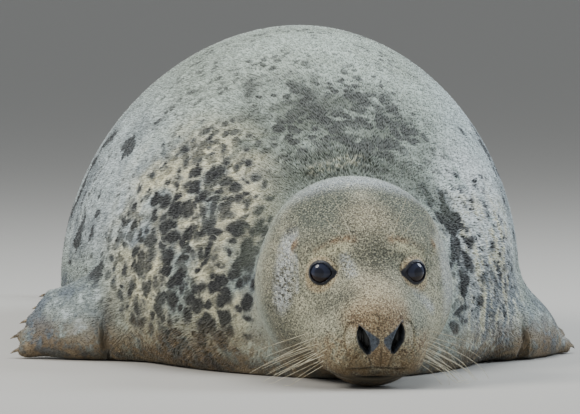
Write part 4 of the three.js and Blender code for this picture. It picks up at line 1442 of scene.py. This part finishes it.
class SEAL_OT_whiskers(bpy.types.Operator):
    """Grow the whiskers of the lip and the long hairs over the eyes"""
    bl_idname = "seal.whiskers"
    bl_label = "Whiskers"

    ROW_X = 0.056
    ROW_RUN = 0.040         # how far back a row runs
    ROW_RISE = 0.004
    # Each row: where it starts along the head, its level, and how many whiskers it has.
    ROWS = ((-0.104, -0.064, 4), (-0.102, -0.072, 5), (-0.100, -0.080, 5), (-0.096, -0.088, 4))
    # Each long hair over an eye: its root in the head's axes, which way it grows, and its length.
    BROW_HAIRS = (((0.024, -0.012, 0.038), (0.36, 0.12, 1.0), 0.048),
                  ((0.034, -0.012, 0.037), (0.62, 0.10, 0.8), 0.030))
    STEPS = 14

    def execute(self, context):
        settings = context.scene.seal_whiskers
        chance = np.random.default_rng(settings.seed)
        follicles = [(y + self.ROW_RUN * share, z + self.ROW_RISE * share, share)
                     for y, z, count in self.ROWS for share in np.linspace(0, 1, count)]
        lines = []
        for side in SIDES.values():
            roots, outward = self.on_skin([[side * self.ROW_X, y, z] for y, z, _ in follicles])
            for root, out, (_, _, share) in zip(roots, outward, follicles):
                lines.append(self.whisker(side, root, out, share, chance))
            for at, way, length in self.BROW_HAIRS:
                roots, _ = self.on_skin([[NOSE_LINE + side * at[0], at[1], at[2]]])
                lines.append(self.brow_hair(side, roots[0], way, length))
        material = whisker_material()
        made = strands("whiskers", lines, material, root_radius=settings.root_radius,
                       tip_radius=settings.tip_radius, taper=1.0, flatness=1.0, sides=6)
        finish_piece(made, material, "coat")
        return {"FINISHED"}

    @staticmethod
    def on_skin(q):
        """The places on the skin nearest to points in the head's axes, and the way out of it there."""
        roots = settle(skin_field, from_head(q), 8)
        return roots, unit(slope(skin_field, roots))

    def whisker(self, side, root, outward, share, chance):
        """The right side's run straight out and down; the left side's hang and curl in at their ends."""
        curl = 1.0 if side > 0 else 0.15
        length = (0.046 + 0.026 * share + chance.uniform(-0.010, 0.012)) * (1.15 if side > 0 else 1.0)
        way = unit(outward * 0.35 + np.array([side * (0.80 + 0.2 * share), 0.05 + 0.30 * share, -0.44])
                   + chance.normal(0, 0.07, 3))
        run = np.linspace(0, 1, self.STEPS)[:, None]
        bend = chance.uniform(0.006, 0.016) * curl
        line = root - outward * 0.001 + way * length * run
        line += np.array([0, 0.006, -0.7 * bend]) * run ** 2
        line += np.array([-side, 0, -0.4]) * bend * run ** 4
        line[:, 2] = np.maximum(line[:, 2], 0.001 + 0.003 * run[:, 0])
        return line

    def brow_hair(self, side, root, way, length):
        """A long hair that bends outward and back."""
        run = np.linspace(0, 1, self.STEPS)[:, None]
        bend = np.array([side * 0.003, 0.006, 0])
        return root + unit(np.array(way) * [side, 1, 1]) * length * run + bend * run ** 2


# ---------- stage ----------

class SEAL_OT_stage(bpy.types.Operator):
    """Lay the floor, light the seal softly and set the camera"""
    bl_idname = "seal.stage"
    bl_label = "Stage"

    IMAGE = (580, 414)
    SENSOR = 36.0
    EYES_PIXEL = (368.5, 272.0)         # where the middle of the eyes falls in the image
    EYES_MIDDLE = (0, -0.030, 0)        # in the head's axes
    CHIN_AHEAD = 0.06                   # of the eyes
    SIGHT = 200.0                       # how far the camera sees
    FLOOR_REACH = 80.0
    SKY = ((0.90, 0.95, 1.0, 1), 0.42)  # tone and strength
    AIM = (0, -0.3, 0.2)                # where the lamps point
    # Each lamp: name, place, size, power and tone.
    LAMPS = (("key", (-3.0, -1.2, 3.0), 2.0, 142, (1.0, 0.97, 0.91)),
             ("fill", (3.2, -0.2, 2.4), 2.0, 116, (0.82, 0.91, 1.0)),
             ("top", (0.3, 0.5, 3.4), 2.4, 92, (0.95, 0.98, 1.0)))

    def execute(self, context):
        settings = context.scene.seal_stage
        self.floor(settings)
        self.lights(context.scene)
        self.camera(context.scene, settings)
        return {"FINISHED"}

    def floor(self, settings):
        corners = np.array([[-1, -1, 0], [1, -1, 0], [1, 1, 0], [-1, 1, 0]]) * self.FLOOR_REACH
        floor = new_object("floor", corners - SHIFT, np.array([[0, 1, 2, 3]]))
        material, start = new_material("floor_pale")
        tone = (*settings.floor_tone, 1)
        finish_material(start, {"Base Color": tone, "Roughness": 1.0, "IOR": 1.1})
        floor.data.materials.append(material)

    def lights(self, scene):
        world = bpy.data.worlds.new("studio")
        scene.world = world
        world.use_nodes = True
        background = world.node_tree.nodes["Background"]
        background.inputs["Color"].default_value, background.inputs["Strength"].default_value = self.SKY
        for name, at, size, power, tone in self.LAMPS:
            light = bpy.data.lights.new(name, "AREA")
            light.shape = "DISK"
            light.size, light.energy, light.color = size, power, tone
            lamp = to_scene(name, light)
            lamp.location = at
            way = Vector(self.AIM) - Vector(at)
            lamp.rotation_euler = way.to_track_quat("-Z", "Y").to_euler()

    def camera(self, scene, settings):
        eyes = Vector(from_head(self.EYES_MIDDLE) + SHIFT)
        chin = Vector((SHIFT[0], eyes.y - self.CHIN_AHEAD, 0))
        away = Vector((math.sin(settings.turn), -math.cos(settings.turn), 0))
        place = chin + away * settings.distance + Vector((0, 0, settings.height))
        sight = (eyes - place).normalized()
        right = sight.cross(Vector((0, 0, 1))).normalized()
        up = right.cross(sight)
        per_pixel = self.SENSOR / self.IMAGE[0] / settings.lens
        sight = (sight - right * (self.EYES_PIXEL[0] - self.IMAGE[0] / 2) * per_pixel
                 + up * (self.EYES_PIXEL[1] - self.IMAGE[1] / 2) * per_pixel)
        camera = bpy.data.cameras.new("camera")
        camera.lens, camera.sensor_width = settings.lens, self.SENSOR
        camera.clip_end = self.SIGHT
        stand = to_scene("camera", camera)
        stand.location = place
        stand.rotation_euler = sight.to_track_quat("-Z", "Y").to_euler()
        scene.camera = stand


class SEAL_PT_panel(bpy.types.Panel):
    """Lists the seal's pieces and their sizes"""
    bl_idname = "SEAL_PT_panel"
    bl_label = "Grey seal"
    bl_space_type = "VIEW_3D"
    bl_region_type = "UI"
    bl_category = "Seal"

    def draw(self, context):
        for operator, group in PIECES:
            box = self.layout.box()
            box.operator(operator.bl_idname)
            if group is not None:
                values = getattr(context.scene, group)
                for name in values.bl_rna.properties.keys():
                    if name not in ("rna_type", "name"):
                        box.prop(values, name)


PIECES = (
    (SEAL_OT_skin, "seal_skin"), (SEAL_OT_coat, "seal_coat"), (SEAL_OT_eyes, None), (SEAL_OT_claws, None),
    (SEAL_OT_whiskers, "seal_whiskers"), (SEAL_OT_stage, "seal_stage"),
)
GROUPS = {
    "seal_skin": SealSkinSettings, "seal_coat": SealCoatSettings,
    "seal_whiskers": SealWhiskerSettings, "seal_stage": SealStageSettings,
}


def register():
    for group in GROUPS.values():
        bpy.utils.register_class(group)
    for operator, _ in PIECES:
        bpy.utils.register_class(operator)
    bpy.utils.register_class(SEAL_PT_panel)
    for name, group in GROUPS.items():
        setattr(bpy.types.Scene, name, PointerProperty(type=group))


def unregister():
    for name in GROUPS:
        delattr(bpy.types.Scene, name)
    bpy.utils.unregister_class(SEAL_PT_panel)
    for operator, _ in reversed(PIECES):
        bpy.utils.unregister_class(operator)
    for group in reversed(GROUPS.values()):
        bpy.utils.unregister_class(group)


def main():
    register()
    bpy.ops.seal.skin()
    bpy.ops.seal.coat()
    bpy.ops.seal.eyes()
    bpy.ops.seal.claws()
    bpy.ops.seal.whiskers()
    bpy.ops.seal.stage()


if __name__ == "__main__":
    main()
